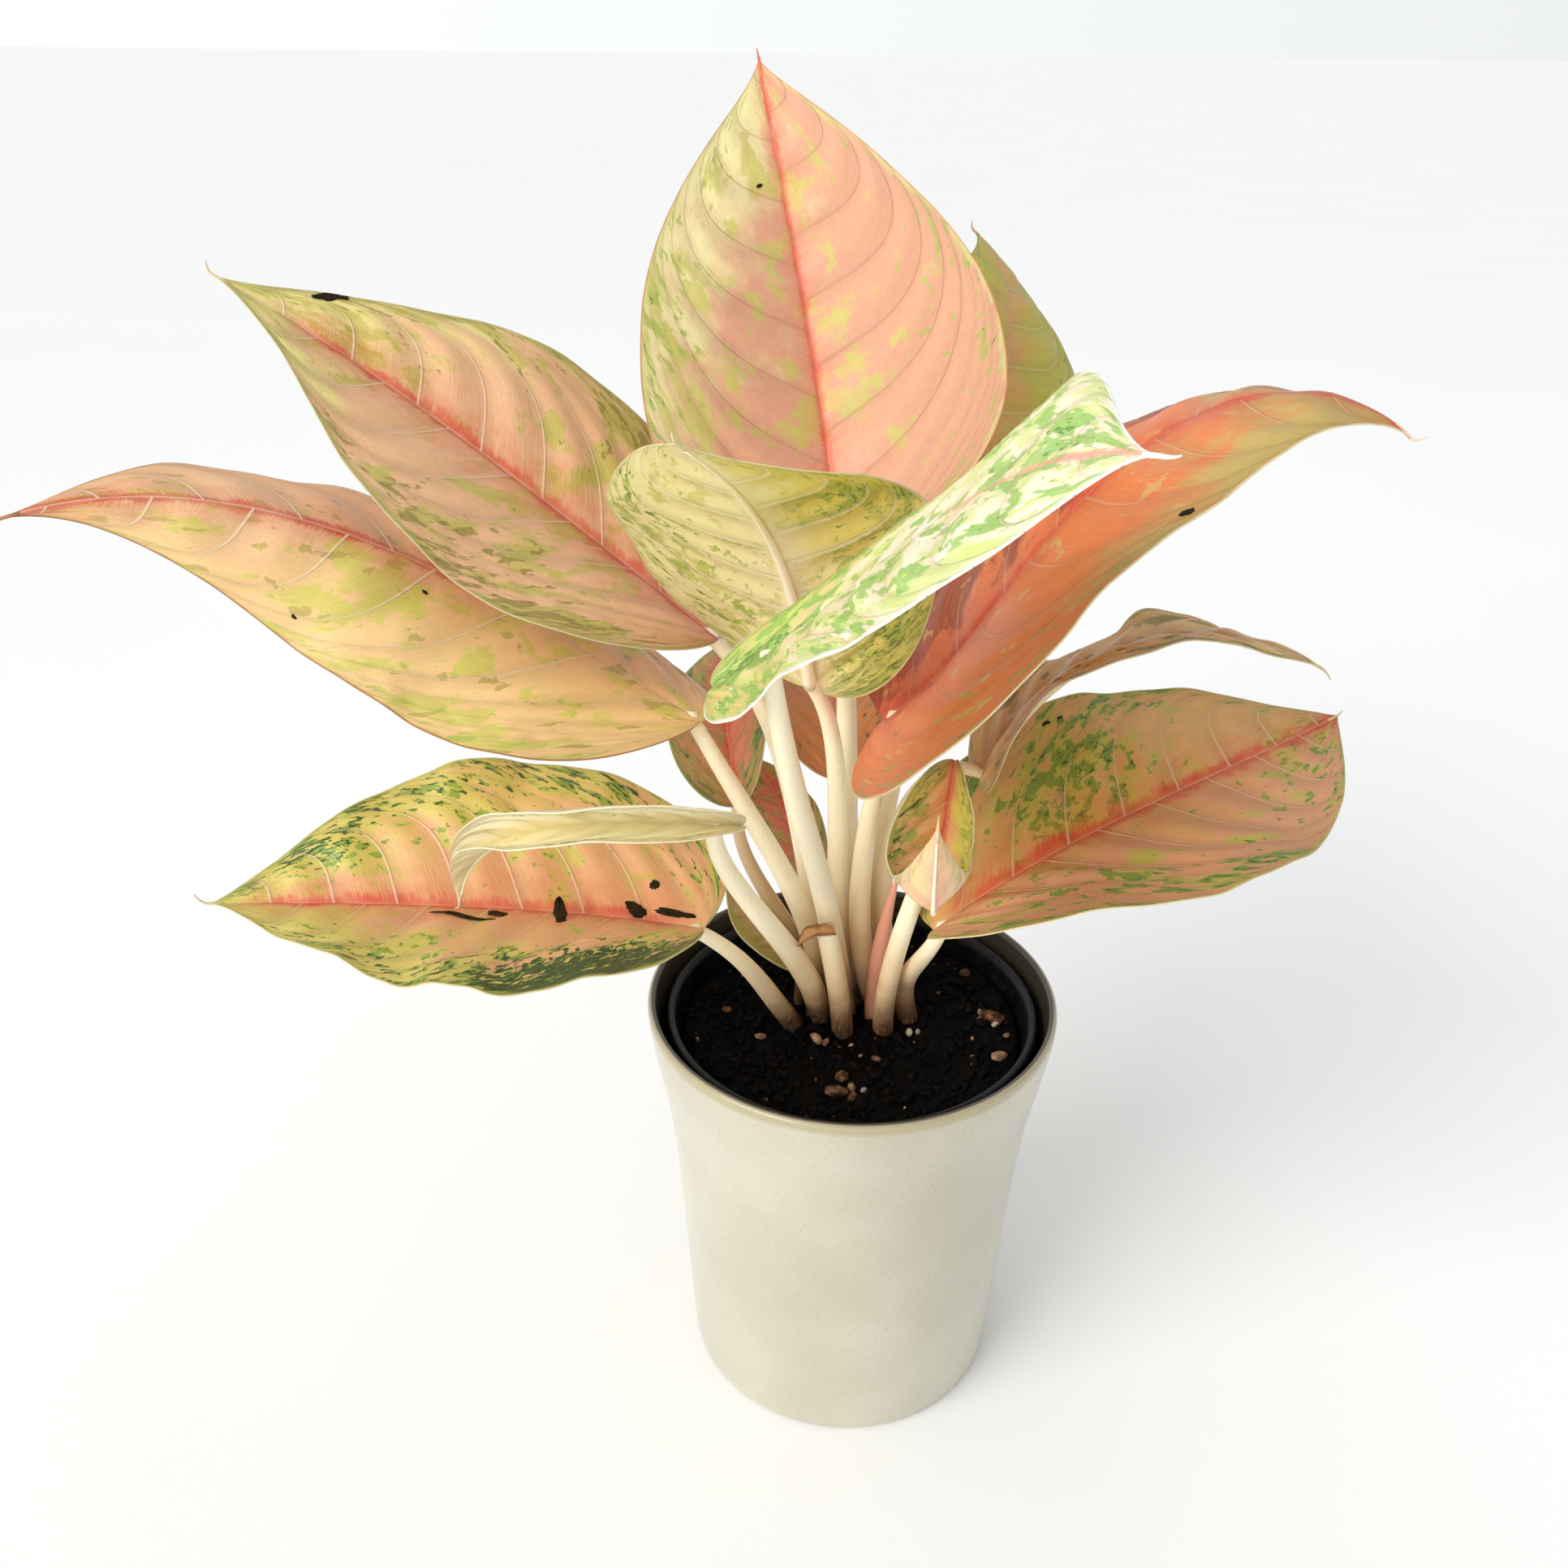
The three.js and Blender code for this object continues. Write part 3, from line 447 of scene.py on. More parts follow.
# %% Leaf values
LEAVES = [
    dict(name="top", at=(-7, 21, 296), length=178, width=119,
         heading=(97, 107, 103), rise=(50, 54, 45), roll=(19, 4, 17),
         fold=(26, 14, 29, 17), curl=(-11, -6, -7, -2), widest=0.34, taper=1.4, lobe=0.1,
         wave=(1.2, 1.2, 2.5, 20), soil=(2, 25), stalk=((-4, 25, 191), (-2, 12, 247)),
         thick=(4.3, 2.4), marks=[(0.72, -0.25, 2.2, 1.2, 60, 0)]),
    dict(name="back_right", at=(24, 66, 281), length=168, width=82,
         heading=(44, 76, 114), rise=(51, 35, 18), roll=(-13, -24, -13),
         fold=(20, 8, 4, -8), curl=(-15, -10, -28, -24), widest=0.35, taper=1.4, lobe=0.15,
         wave=(1, 1, 3, 80), soil=(12.5, 20), stalk=((-2, 28, 185), (26, 53, 232)),
         thick=(3.6, 2.1), drip=(4, 0.6)),
    dict(name="upper_left", at=(-44, 6, 278), length=183, width=103,
         heading=(158, 169, 174), rise=(32, 35, 28), roll=(-4, 22, 14),
         fold=(13, 13, 13, 18), curl=(-20, -6, -20, -2), widest=0.35, taper=1.4, lobe=0.06,
         wave=(1.2, 1.2, 3, 200), soil=(-7, 23), stalk=((-18, 20, 187), (-18, 10, 248)),
         thick=(3.8, 2.2), sweep=0.27, drip=(4, 0.8), marks=[(0.84, 0.9, 9, 3, -8, 0)]),
    dict(name="far_left", at=(-48, -17, 261), length=210, width=111,
         heading=(149, 190, 214), rise=(18, 27, -12), roll=(-4, 13, 45),
         fold=(2, -18, -1, -7), curl=(-24, -30, -31, -21), widest=0.31, taper=1.65, lobe=0.02,
         wave=(1.8, 1.8, 3.5, 140), soil=(-9, 14), stalk=((-13, 10, 182), (-30, -21, 221)),
         thick=(4.2, 2.2), drip=(6, -0.3),
         marks=[(0.44, -0.22, 2, 1.2, 30, 0), (0.61, -0.8, 1.8, 1.2, 0, 0)]),
    dict(name="lower_left", at=(-48, -31, 197), length=154, width=107,
         heading=(164, 183, 179), rise=(-1, 4, -2), roll=(-1, 14, 12),
         fold=(24, 22, 24, 25), curl=(-12, 0, -12, 4), widest=0.39, taper=1.3, lobe=0.35,
         wave=(2, 2, 4, 60), soil=(-20, -1), stalk=((-31, -8, 159), (-33, -26, 182)),
         thick=(3.6, 2.2), sweep=0.23, drip=(5, 0.8),
         marks=[(0.49, -0.16, 20, 2.4, 8, 0.6), (0.42, -0.12, 6, 4, 8, 1.2),
                (0.295, -0.14, 8, 4, 80, 7.5), (0.15, 0.06, 7, 4, 10, 2), (0.075, 0.1, 12, 2.6, -10, 1),
                (0.14, 0.3, 3, 3, 0, 0)]),
    dict(name="rolled_left", at=(-36, -48, 243), length=112, width=36, joins=0.07,
         heading=(203, 165, 128), rise=(15, -18, -75), roll=(52, 59, 34),
         fold=(55, 53, 61, 59), curl=(31, 32, 36, 36), widest=0.37, taper=1.37, lobe=0.29,
         wave=(0.8, 0.8, 3, 0), soil=(-11, 4.5), stalk=((-13, -12, 176), (-47, -35, 216)),
         thick=(4.3, 2.4)),
    dict(name="front_centre", at=(-15, -1, 265), length=147, width=86,
         heading=(250, 255, 242), rise=(66, 42, 29), roll=(6, -15, -3),
         fold=(3, 4, 15, 26), curl=(-21, -5, -19, 3), widest=0.56, taper=1.5, lobe=0.26,
         wave=(1, 1, 3, 300), soil=(1, 15), stalk=((-11, 14, 182), (0, 11, 240)),
         thick=(4.1, 2.3)),
    dict(name="front_right", at=(-42, -81, 300), length=153, width=76, joins=0.12,
         heading=(345, 305, 301), rise=(36, 39, 7), roll=(-8, -21, -44),
         fold=(16, 9, 5, -1), curl=(-18, -7, -26, -17), widest=0.6, taper=2.0, lobe=0.39,
         wave=(1, 1, 3, 30), soil=(-2, 6), stalk=((-11, 11, 204), (-21, -66, 251)),
         thick=(4.1, 2.4), drip=(5, 0.2)),
    dict(name="upper_right", at=(7, 3, 253), length=190, width=120,
         heading=(-34, -9, -9), rise=(40, 51, -42), roll=(-35, -7, -10),
         fold=(20, -13, 19, -6), curl=(-1, -30, -12, -19), widest=0.41, taper=1.38, lobe=0.62,
         wave=(1.6, 1.6, 3, 250), soil=(9.5, 10.5), stalk=((-3, 8, 170), (2, 3, 218)),
         thick=(4.1, 2.5), drip=(4, 0.8), marks=[(0.62, 0.93, 4, 1.6, 20, 0)]),
    dict(name="waved_right", at=(37, -7, 237), length=121, width=73,
         heading=(16, -3, -13), rise=(73, 23, -27), roll=(9, 17, -2),
         fold=(16, 5, 15, 5), curl=(-18, -12, -15, -12), widest=0.35, taper=1.37, lobe=0.17,
         wave=(5, 1.5, 2.4, 200), soil=(19, 14), stalk=((1, 17, 174), (13, 16, 243)),
         thick=(3.3, 2.0), drip=(4, -0.4)),
    dict(name="lower_right", at=(23, -28, 195), length=160, width=105,
         heading=(10, 22, 38), rise=(39, 16, 4), roll=(-5, -14, -15),
         fold=(10, 5, 38, 0), curl=(1, -13, 0, -15), widest=0.41, taper=1.0, lobe=0.25,
         wave=(1.6, 1.6, 3.5, 120), soil=(20, 3), stalk=((14, 2, 161), (21, -23, 176)),
         thick=(3.7, 2.2), sweep=0.24,
         marks=[(0.43, -0.85, 3, 1.6, 0, 0), (0.46, -0.84, 1.6, 1.2, 0, 0),
                (0.34, -0.88, 2.4, 1.4, 40, 0)]),
    dict(name="small_front", at=(23.5, -49, 265), length=94, width=36, small=True,
         heading=(254, 261, 262), rise=(-60, 7, 109), roll=(-3, -6, 0),
         fold=(54, 30, 48, 26), curl=(25, 17, 23, 8), widest=0.35, taper=0.92, lobe=0.14,
         wave=(0.6, 0.6, 2, 0), soil=(11, -4), stalk=((8, -19, 182), (26, -27, 229)),
         thick=(3.6, 2.0), drip=(4, 0.4)),
    dict(name="back_left", at=(-40, 41, 201), length=93, width=44, small=True,
         heading=(103, 95, 86), rise=(45, 17, -3), roll=(11, 12, 2),
         fold=(20, 9, 46, 20), curl=(-15, -9, 5, -1), widest=0.4, taper=1.35, lobe=0.15,
         wave=(0.8, 0.8, 2, 40), soil=(-14, 28), stalk=((-18, 30, 161), (-43, 32, 181)),
         thick=(3.3, 2.0)),
    dict(name="back_centre", at=(-6, 51, 207), length=89, width=48, small=True,
         heading=(96, 85, 76), rise=(36, 12, -5), roll=(0, 2, 0),
         fold=(30, 9, 31, 11), curl=(-7, -9, -6, -7), widest=0.4, taper=1.35, lobe=0.12,
         wave=(0.8, 0.8, 2, 160), soil=(5, 34), stalk=((3, 37, 162), (-4, 44, 185)),
         thick=(3.3, 2.0)),
    dict(name="back_small", at=(-14, 32, 176), length=57, width=30, small=True,
         heading=(126, 115, 111), rise=(51, 30, 4), roll=(-6, -8, 5),
         fold=(23, 7, 7, 10), curl=(-13, -11, -25, -9), widest=0.37, taper=1.1, lobe=0.14,
         wave=(0.5, 0.5, 2, 90), soil=(-4, 33), stalk=((-6, 33, 152), (-12, 31, 164)),
         thick=(2.9, 1.8)),
    dict(name="bract_left", at=(-17, 11, 152), length=41, width=26, small=True,
         heading=(176, 167, 155), rise=(45, 47, 52), roll=(-11, -6, 5),
         fold=(21, -6, 0, -1), curl=(-14, -20, -30, -17), widest=0.41, taper=1.27, lobe=0.15,
         wave=(0.3, 0.3, 2, 0), soil=(-17.5, 10.5), stalk=((-18, 11, 143), (-17, 10, 147)),
         thick=(2.3, 1.6)),
]
BLADE = 0.75              # a real blade is thinner than the CAD one, and thinner still at its margin
QUILT = 1.5               # how far the blade swells between two side veins
GROOVE = 0.35             # the depth of the groove above the midrib
VEINS = 8                 # side veins on each side
print("leaves:", *[leaf["name"] for leaf in LEAVES])

# %% [markdown]
# `leaf_frame` gives the directions at a place along the midrib: along it, to its right,
# and out of the upper face. The midrib is then walked in short steps.

# %% The line of a midrib
def through(values, t):
    base, middle, tip = values
    return base * (1 - t) * (1 - 2 * t) + 4 * middle * t * (1 - t) + tip * t * (2 * t - 1)


def leaf_frame(leaf, t):
    heading, rise, roll = (math.radians(through(leaf[key], t)) for key in ("heading", "rise", "roll"))
    level = Vector((math.cos(heading), math.sin(heading), 0))
    along = level * math.cos(rise) + Vector((0, 0, math.sin(rise)))
    above = level * -math.sin(rise) + Vector((0, 0, math.cos(rise)))
    right = Vector((math.sin(heading), -math.cos(heading), 0))
    side = right * math.cos(roll) + above * math.sin(roll)
    normal = above * math.cos(roll) - right * math.sin(roll)
    return along, side, normal


RIB_STEPS = 96


def midrib(leaf):
    points = [Vector(leaf["at"])]
    for step in range(RIB_STEPS):
        along = leaf_frame(leaf, (step + 0.5) / RIB_STEPS)[0]
        points.append(points[-1] + along * leaf["length"] / RIB_STEPS)
    return points


def rib_point(points, t):
    x = min(t * RIB_STEPS, RIB_STEPS - 1e-6)
    return points[int(x)].lerp(points[int(x) + 1], x % 1)


def half_width(leaf, t):
    widest = leaf["widest"]
    if t < widest:
        share = (1 - ((widest - t) / widest) ** 2.2) ** 0.55
    else:
        share = (1 - ((t - widest) / (1 - widest)) ** 2) ** leaf["taper"]
    return max(0.45, leaf["width"] / 2 * share)


# %% [markdown]
# Side veins leave the midrib at a wide angle, then sweep forward and run along the
# margin. `vein_count_at` counts them from the base: it is a whole number on a vein, and
# halfway between two veins it ends in a half. The two sides alternate. The same sum
# draws the veins in the leaf's colouring further down.

# %% Veins
SWEEP_NEAR, SWEEP_FAR = 0.19, 0.38


def vein_count_at(leaf, t, s):
    sweep = leaf.get("sweep", SWEEP_NEAR) * abs(s) + SWEEP_FAR * s ** 4
    return (t - sweep) / (1 - sweep) * VEINS + (0.5 if s < 0 else 0)


# %% [markdown]
# A blade starts as a flat grid with a little thickness, made by extruding the grid. Then
# each vertex moves to its place on the leaf: one direction of the grid becomes the way
# from base to tip, the other the way from the left margin over the rib to the right one.
# `place_on_leaf` finds that place, with the fold, the curl, the waves of the margin, the
# swelling between veins and the groove over the rib.

# %% A place on a leaf
def place_on_leaf(leaf, ribs, t):
    along, side, normal = leaf_frame(leaf, t)
    half, middle = half_width(leaf, t), rib_point(ribs, t)
    left_wave, right_wave, waves, phase = leaf["wave"]
    halves = {}
    for hand, first, size in ((-1, 0, left_wave), (1, 2, right_wave)):
        fold = math.radians(mix(*leaf["fold"][first:first + 2], t))
        bend = math.radians(mix(*leaf["curl"][first:first + 2], t) or 0.01)
        turn = math.radians(phase + (75 if hand < 0 else 0))
        swell = math.sin(math.tau * waves * t + turn)
        swell += 0.18 * math.sin(math.tau * waves * 2.7 * t + 2 * turn)
        halves[hand] = fold, bend, swell * size * math.sin(math.pi * t)

    def point(s, upper):
        reach, hand = abs(s), -1 if s < 0 else 1
        fold, bend, swell = halves[hand]
        tilt = fold + bend * reach
        out = half * (math.sin(tilt) - math.sin(fold)) / bend
        lift = half * (math.cos(fold) - math.cos(tilt)) / bend
        back = leaf["lobe"] * half * reach * max(0, 1 - t / leaf["widest"])
        face = normal if s == 0 else normal * math.cos(tilt) - side * hand * math.sin(tilt)
        quilt = QUILT * (math.sin(math.pi * vein_count_at(leaf, t, s)) ** 2 - 0.5)
        quilt *= math.sin(math.pi * reach ** 0.8) * min(1, half / 20) * min(1, 8 * t, 6 * (1 - t))
        thick = BLADE * mix(1, 0.55, reach ** 4) * mix(1, 0.7, max(0, (t - 0.8) / 0.2))
        groove = GROOVE * math.exp(-(reach * half / 1.3) ** 2) * (1 - t) ** 0.5 if upper else 0
        height = swell * reach ** 2 + quilt + (thick / 2 if upper else -thick / 2) - groove
        return middle + side * (hand * out) + normal * lift - along * back + face * height
    return half, point


# %% [markdown]
# The flat place of each vertex is kept as the leaf's UV map, so colours can follow the
# veins, and its distance from rib and margin is kept in attributes. The rim between the
# two faces is marked sharp, as a thin leaf's margin is.

# %% Shape one blade
SMALL_GRID, LARGE_GRID = (64, 32), (128, 56)


def raise_top(bm):
    for part in bmesh.ops.extrude_face_region(bm, geom=bm.faces[:])["geom"]:
        if isinstance(part, bmesh.types.BMVert):
            part.co.z = 1
    bmesh.ops.recalc_face_normals(bm, faces=bm.faces)


def shape_blade(leaf, ribs):
    rows, columns = SMALL_GRID if leaf.get("small") else LARGE_GRID
    bm = bmesh.new()
    bmesh.ops.create_grid(bm, x_segments=rows, y_segments=columns, size=1)
    raise_top(bm)
    for edge in bm.edges:
        edge.smooth = len({round(face.normal.z) for face in edge.link_faces}) < 2
    grid_map = bm.loops.layers.uv.new("leaf")
    underside, from_rib, from_edge = (
        bm.verts.layers.float.new(name) for name in ("underside", "from_rib", "from_edge"))
    rows_done = {}
    for vert in bm.verts:
        x, y, upper = vert.co.x, vert.co.y, vert.co.z > 0.5
        t = max(0.002, ((x + 1) / 2) ** 1.35)
        s = math.copysign(abs(y) ** 1.4, y) if abs(y) > 1e-6 else 0.0
        for loop in vert.link_loops:
            loop[grid_map].uv = (t, (s + 1) / 2)
        key = round(t, 6)
        if key not in rows_done:
            rows_done[key] = place_on_leaf(leaf, ribs, t)
        half, point = rows_done[key]
        vert[underside] = 0 if upper else 1
        vert[from_rib] = abs(s) * half
        vert[from_edge] = (1 - abs(s)) * half
        vert.co = point(s, upper)
    return bm


# %% [markdown]
# Stalks, ribs and shoots are round and taper, and they bow. A curve with a radius at
# each point is Blender's own way to make such a rod. It becomes a mesh before its piece
# is finished.

# %% Make a tapered rod
def rod(points, radii, sides=6):
    line = bpy.data.curves.new("rod", "CURVE")
    line.dimensions = "3D"
    line.bevel_depth, line.bevel_resolution, line.use_fill_caps = 1, sides, True
    spline = line.splines.new("POLY")
    spline.points.add(len(points) - 1)
    for knot, point, radius in zip(spline.points, points, radii):
        knot.co, knot.radius = (*point, 1), radius
    holder = show("rod", line)
    shape = holder.evaluated_get(bpy.context.evaluated_depsgraph_get())
    bm = bmesh.new()
    pour(bpy.data.meshes.new_from_object(shape), bm)
    bpy.data.objects.remove(holder)
    bmesh.ops.remove_doubles(bm, verts=bm.verts, dist=0.0005)
    bmesh.ops.recalc_face_normals(bm, faces=bm.faces)
    return bm


def join_into(bm, other, material):
    for face in other.faces:
        face.material_index = material
    pour(made_mesh("part", other), bm)


# %% [markdown]
# The thick part of the midrib stands out below the blade and carries on from the stalk.
# It is a rod that thins from base to tip, sunk so that it only shows below. Past the end
# of the blade it runs on as a drip tip, a thread that lets rain fall off the leaf.

# %% Rib under a blade, and the drip tip
JOINS = 0.02              # where on its midrib a leaf meets its stalk
RIB_RINGS, DRIP_RINGS = 40, 10


def shape_rib(leaf, ribs):
    points, radii = [], []
    for ring in range(RIB_RINGS + 1):
        t = mix(leaf.get("joins", JOINS), 0.97, ring / RIB_RINGS)
        radius = leaf["thick"][1] * (0.12 + 0.83 * (1 - t) ** 1.3)
        points.append(rib_point(ribs, t) - leaf_frame(leaf, t)[2] * (radius + 0.1))
        radii.append(radius)
    radii[0] *= 0.9
    return rod(points, radii, 4)


def shape_drip_tip(leaf, ribs):
    along, _, normal = leaf_frame(leaf, 1)
    long, hook = leaf.get("drip", (3, 0.5))
    points, radii = [], []
    for ring in range(DRIP_RINGS + 1):
        part = ring / DRIP_RINGS
        behind = rib_point(ribs, 1 - 0.03 * (1 - min(1, part * 4)))
        ahead = long * max(0, part - 0.25) / 0.75
        reach = behind + along * ahead * (1 - 0.35 * hook * part)
        points.append(reach + normal * hook * ahead ** 2 / long)
        radii.append(mix(0.55, 0.16, part))
    return rod(points, radii, 2)


# %% [markdown]
# A few leaves carry dark dry marks: a speck, a torn dot, or a flake that has curled up. Each
# is a thin ragged disc laid on the upper face, and a dry flake stands up at one end. A mark
# is (along, right, length, width, turn, how far it stands up).

# %% Dry marks
def shape_marks(leaf, ribs):
    bm = bmesh.new()
    for t, s, long, wide, turn, stand in leaf.get("marks", ()):
        disc = bmesh.new()
        bmesh.ops.create_circle(disc, cap_ends=True, cap_tris=True, segments=20, radius=1)
        bmesh.ops.subdivide_edges(disc, edges=disc.edges, cuts=2, use_grid_fill=True)
        raise_top(disc)
        turned = Matrix.Rotation(math.radians(turn), 2)
        for vert in disc.verts:
            x, y, upper = vert.co
            ragged = 1 + 0.35 * noise.noise(Vector((x * 2.3, y * 2.3, long + 9 * t)))
            ahead, aside = turned @ Vector((x * long, y * wide)) * ragged / 2
            near = min(0.98, max(0.01, t + ahead / leaf["length"]))
            half, point = place_on_leaf(leaf, ribs, near)
            across = min(0.99, max(-0.99, s + aside / half))
            lift = 0.18 * upper + 0.05 + stand * ((x + 1) / 2) ** 1.5
            vert.co = point(across, True) + leaf_frame(leaf, near)[2] * lift
        pour(made_mesh("mark", disc), bm)
    return bm


# %% [markdown]
# A stalk comes straight up out of the soil and bows to its blade. It is thicker below,
# where its sheath wraps the younger stalks, and it ends inside the start of the rib.

# %% Stalks
def stalk_line(soil, bows, end, steps=36):
    ground = Vector((*soil, SOIL_LINE))
    below = [Vector((*soil, STALK_START)), Vector((*soil, STALK_START + 6))]
    return below + interpolate_bezier(ground, Vector(bows[0]), Vector(bows[1]), end, steps)


def lengths_along(points):
    total, places = 0, [0]
    for a, b in zip(points, points[1:]):
        total += (b - a).length
        places.append(total)
    return [place / total for place in places]


def shape_stalk(leaf, ribs):
    joins, thin = leaf.get("joins", JOINS), leaf["thick"][1]
    under = leaf_frame(leaf, joins)[2] * thin
    end = rib_point(ribs, joins) - under / 2
    points = stalk_line(leaf["soil"], leaf["stalk"], end)
    radii = [mix(*leaf["thick"], place ** 1.6) for place in lengths_along(points)]
    follow = rib_point(ribs, joins + 3 / leaf["length"]) - under * 0.85
    return rod(points + [follow], radii + [thin * 0.7])


# %% [markdown]
# A stalk's skin is pale cream and slightly translucent, with faint lengthwise lines. Near
# the soil it turns warm, then reddish brown, which is partly its own colour and partly
# painted shade, and right above the soil it is painted near black, as shade. Every stalk,
# the shoot and the old stub share this effect, so it is a node group: `stalk_skin` works the
# colour out from height, and each material that uses the group adds its own tints. Heights
# are in metres, and the soil lies at 0.139.

# %% Groups, and the stalks' skin
def new_group(name, inputs, outputs):
    group = bpy.data.node_groups.new(name, "ShaderNodeTree")
    kinds = {float: "NodeSocketFloat", str: "NodeSocketColor"}
    for key, value in inputs.items():
        feed(group.interface.new_socket(key, in_out="INPUT", socket_type=kinds[type(value)]), value)
    for key, kind in outputs.items():
        group.interface.new_socket(key, in_out="OUTPUT", socket_type=kinds[kind])
    source = group.nodes.new("NodeGroupInput").outputs
    given = {key: Wire(group, source[key]) for key in inputs}
    return group, given, group.nodes.new("NodeGroupOutput").inputs


def use_group(tree, group, values):
    sockets = {key.replace("_", " ").capitalize(): value for key, value in values.items()}
    node = add_node(tree, "ShaderNodeGroup", sockets, node_tree=group)
    return {output.name: Wire(tree, output) for output in node.outputs}


STALK_SKIN, given, result = new_group(
    "stalk_skin", {"Pale": "#FBF0D0", "Warm": "#E8C898", "Foot": "#74452A", "Warm top": 0.2},
    {"Colour": str, "Height": float})
place = object_place(STALK_SKIN)
lines = grain(stretched(place, (1, 1, 0.06)), 1300.0)
height = grain(place, 60.0) * 0.03 + split(place)[2]
warm = height.ease(given["Warm top"] + 0.02, given["Warm top"] - 0.035)
skin = lay(warm, given["Pale"], given["Warm"])
# painted shade near the soil: the reddish brown foot is partly the stalk's own colour and partly shade,
# and the near black just above the soil is shade
skin = lay(height.ease(0.182, 0.156) * 0.88, skin, given["Foot"])
skin = lay(height.ease(0.166, 0.15) * 0.8, skin, "#1C110A")
skin = lay(lines.ease(0.5, 0.7) * 0.22, skin, given["Warm"])
feed(result["Colour"], skin)
feed(result["Height"], lines)
print("stalk skin:", len(STALK_SKIN.nodes), "nodes")


def stalk_material(name, **values):
    material = new_material(name, specular_ior_level=0.4, subsurface_weight=0.2,
                            subsurface_scale=1.2 * MM)
    skin = use_group(material.node_tree, STALK_SKIN, values)
    return dress(material, skin["Colour"], skin["Height"] * 0.2 + 0.34, skin["Height"], 0.15, 0.35)


# %% [markdown]
# ## Leaf colouring
# The beauty of this plant is its paint: a blush that washes into a second colour, green
# patches that stretch between the veins, dark flecks, a bright band along the midrib,
# fine pale veins and a thin pale margin. All sixteen leaves have it, each in its own mix,
# so it is one node group with many named inputs.

# %% Leaf paint: the group and what it is given
LEAF_PAINT, given, result = new_group("leaf_paint", {
    "Length": 16.0, "Half": 5.0, "Seed": 0.0, "Sweep": SWEEP_NEAR,
    "Blush": "#E9A88C", "Wash": "#C9BC6A",
    "Wash along": 0.0, "Wash right": 0.0, "Wash out": 0.6, "Wash amount": 0.0, "Ragged": 1.0,
    "Patch": "#C2BB68", "Patch amount": 0.4, "Patch size": 1.4, "Patch out": 0.3, "Patch right": 0.0,
    "Fleck": "#8FA648", "Fleck amount": 0.3, "Fleck size": 0.5, "Fleck out": 0.6,
    "Speck": "#33491E", "Speck amount": 0.2, "Depth": 1.0,
    "First along": 0.5, "First right": 0.0, "First size": 0.4, "First gain": 0.0,
    "Second along": 0.5, "Second right": 0.0, "Second size": 0.4, "Second gain": 0.0,
    "Rib": "#E8745A", "Rib width": 3.0, "Rib from": 0.0, "Rib to": 1.0, "Rib glow": 0.3,
    "Vein": "#F6CDB4", "Vein strength": 0.6, "Vein width": 0.65,
    "Margin": "#B4BC62", "Margin width": 3.0, "Edge": "#D9C9A0",
    "Under": "#D9C38E", "Under amount": 0.35},
    {"Colour": str, "Roughness": float, "Height": float})
print("leaf paint:", len(given), "inputs")

# %% [markdown]
# The group reads the leaf's UV map. Its patches lean the way the veins do, because noise
# is read in "vein space", where one direction runs across the veins and the other along
# them. Each space between two veins leans its own way, and islets a millimetre or two
# wide give the paint its ragged edges.

# %% Leaf paint: vein space
def attribute(name):
    return put(LEAF_PAINT, "ShaderNodeAttribute", {}, "Fac", attribute_name=name)


from_rib, from_edge, under = attribute("from_rib"), attribute("from_edge"), attribute("underside")
along, right, _ = split(put(LEAF_PAINT, "ShaderNodeUVMap", {}, uv_map="leaf"))
right = right * 2.0 - 1.0
out = right.calc("ABSOLUTE")
sweep = out.calc("POWER", 4.0) * SWEEP_FAR + out * given["Sweep"]
swept = (along - sweep) / (1.0 - sweep)
count = swept * VEINS + right.calc("LESS_THAN") * 0.5
across_veins, along_veins = (along - sweep * 0.35) * given["Length"], right * given["Half"]
broad_place = vector(across_veins, along_veins, given["Seed"])
long_place = vector(across_veins, along_veins * 0.9, given["Seed"])
hair_place = vector(swept * (given["Length"] * 14.0), along_veins * 0.9, given["Seed"])

space = vector(count.calc("FLOOR"), right.calc("SIGN"), given["Seed"])
chosen = put(LEAF_PAINT, "ShaderNodeTexWhiteNoise", {"Vector": space}, "Value", noise_dimensions="3D")
islets = put(LEAF_PAINT, "ShaderNodeTexVoronoi", {"Vector": long_place, "Scale": 4.5}, "Color")
islets = put(LEAF_PAINT, "ShaderNodeSeparateColor", {0: islets})
ragged = ((islets - 0.5) * 0.09 + (chosen * 0.12 - 0.06)) * given["Ragged"]

# %% [markdown]
# The ground colour drifts from blush to wash across the blade. Patches, flecks and specks
# are noise cut off at a level, `scatter`, and each may thicken towards the margin,
# `outward`. On each leaf there are also two places where the green gathers.

# %% Leaf paint: wash, patches and flecks
def scatter(field, amount, edge):
    level = amount * -0.4 + 0.74
    return field.ease(level, level + edge)


def outward(field, lean):
    return field + (out - 0.5) * (lean * 0.3)


def gathered(key):
    beside, across = (along - given[f"{key} along"]) * 2.0, right - given[f"{key} right"]
    far = (beside * beside + across * across).calc("SQRT")
    return far.ease(given[f"{key} size"], given[f"{key} size"] * 0.3) * given[f"{key} gain"]


gather = (gathered("First") + gathered("Second")) * 0.1
deep = gather * given["Depth"]
lean = (along - 0.5) * given["Wash along"] + right * given["Wash right"]
lean += (out - 0.5) * given["Wash out"] + given["Wash amount"]
soft = grain(broad_place, 0.45) - 0.5 + ragged * 0.5
paint = lay((soft * 1.6 + lean).ease(-0.25, 0.35), given["Blush"], given["Wash"])

blots = grain(long_place, 1.0 / given["Patch size"]) + ragged + gather
blots += right * (given["Patch right"] * 0.15)
patch = scatter(outward(blots, given["Patch out"]), given["Patch amount"], 0.12)
tone = grain(broad_place, 1.3)
paint = lay(patch * (tone * 0.9 + 0.35), paint, given["Patch"])

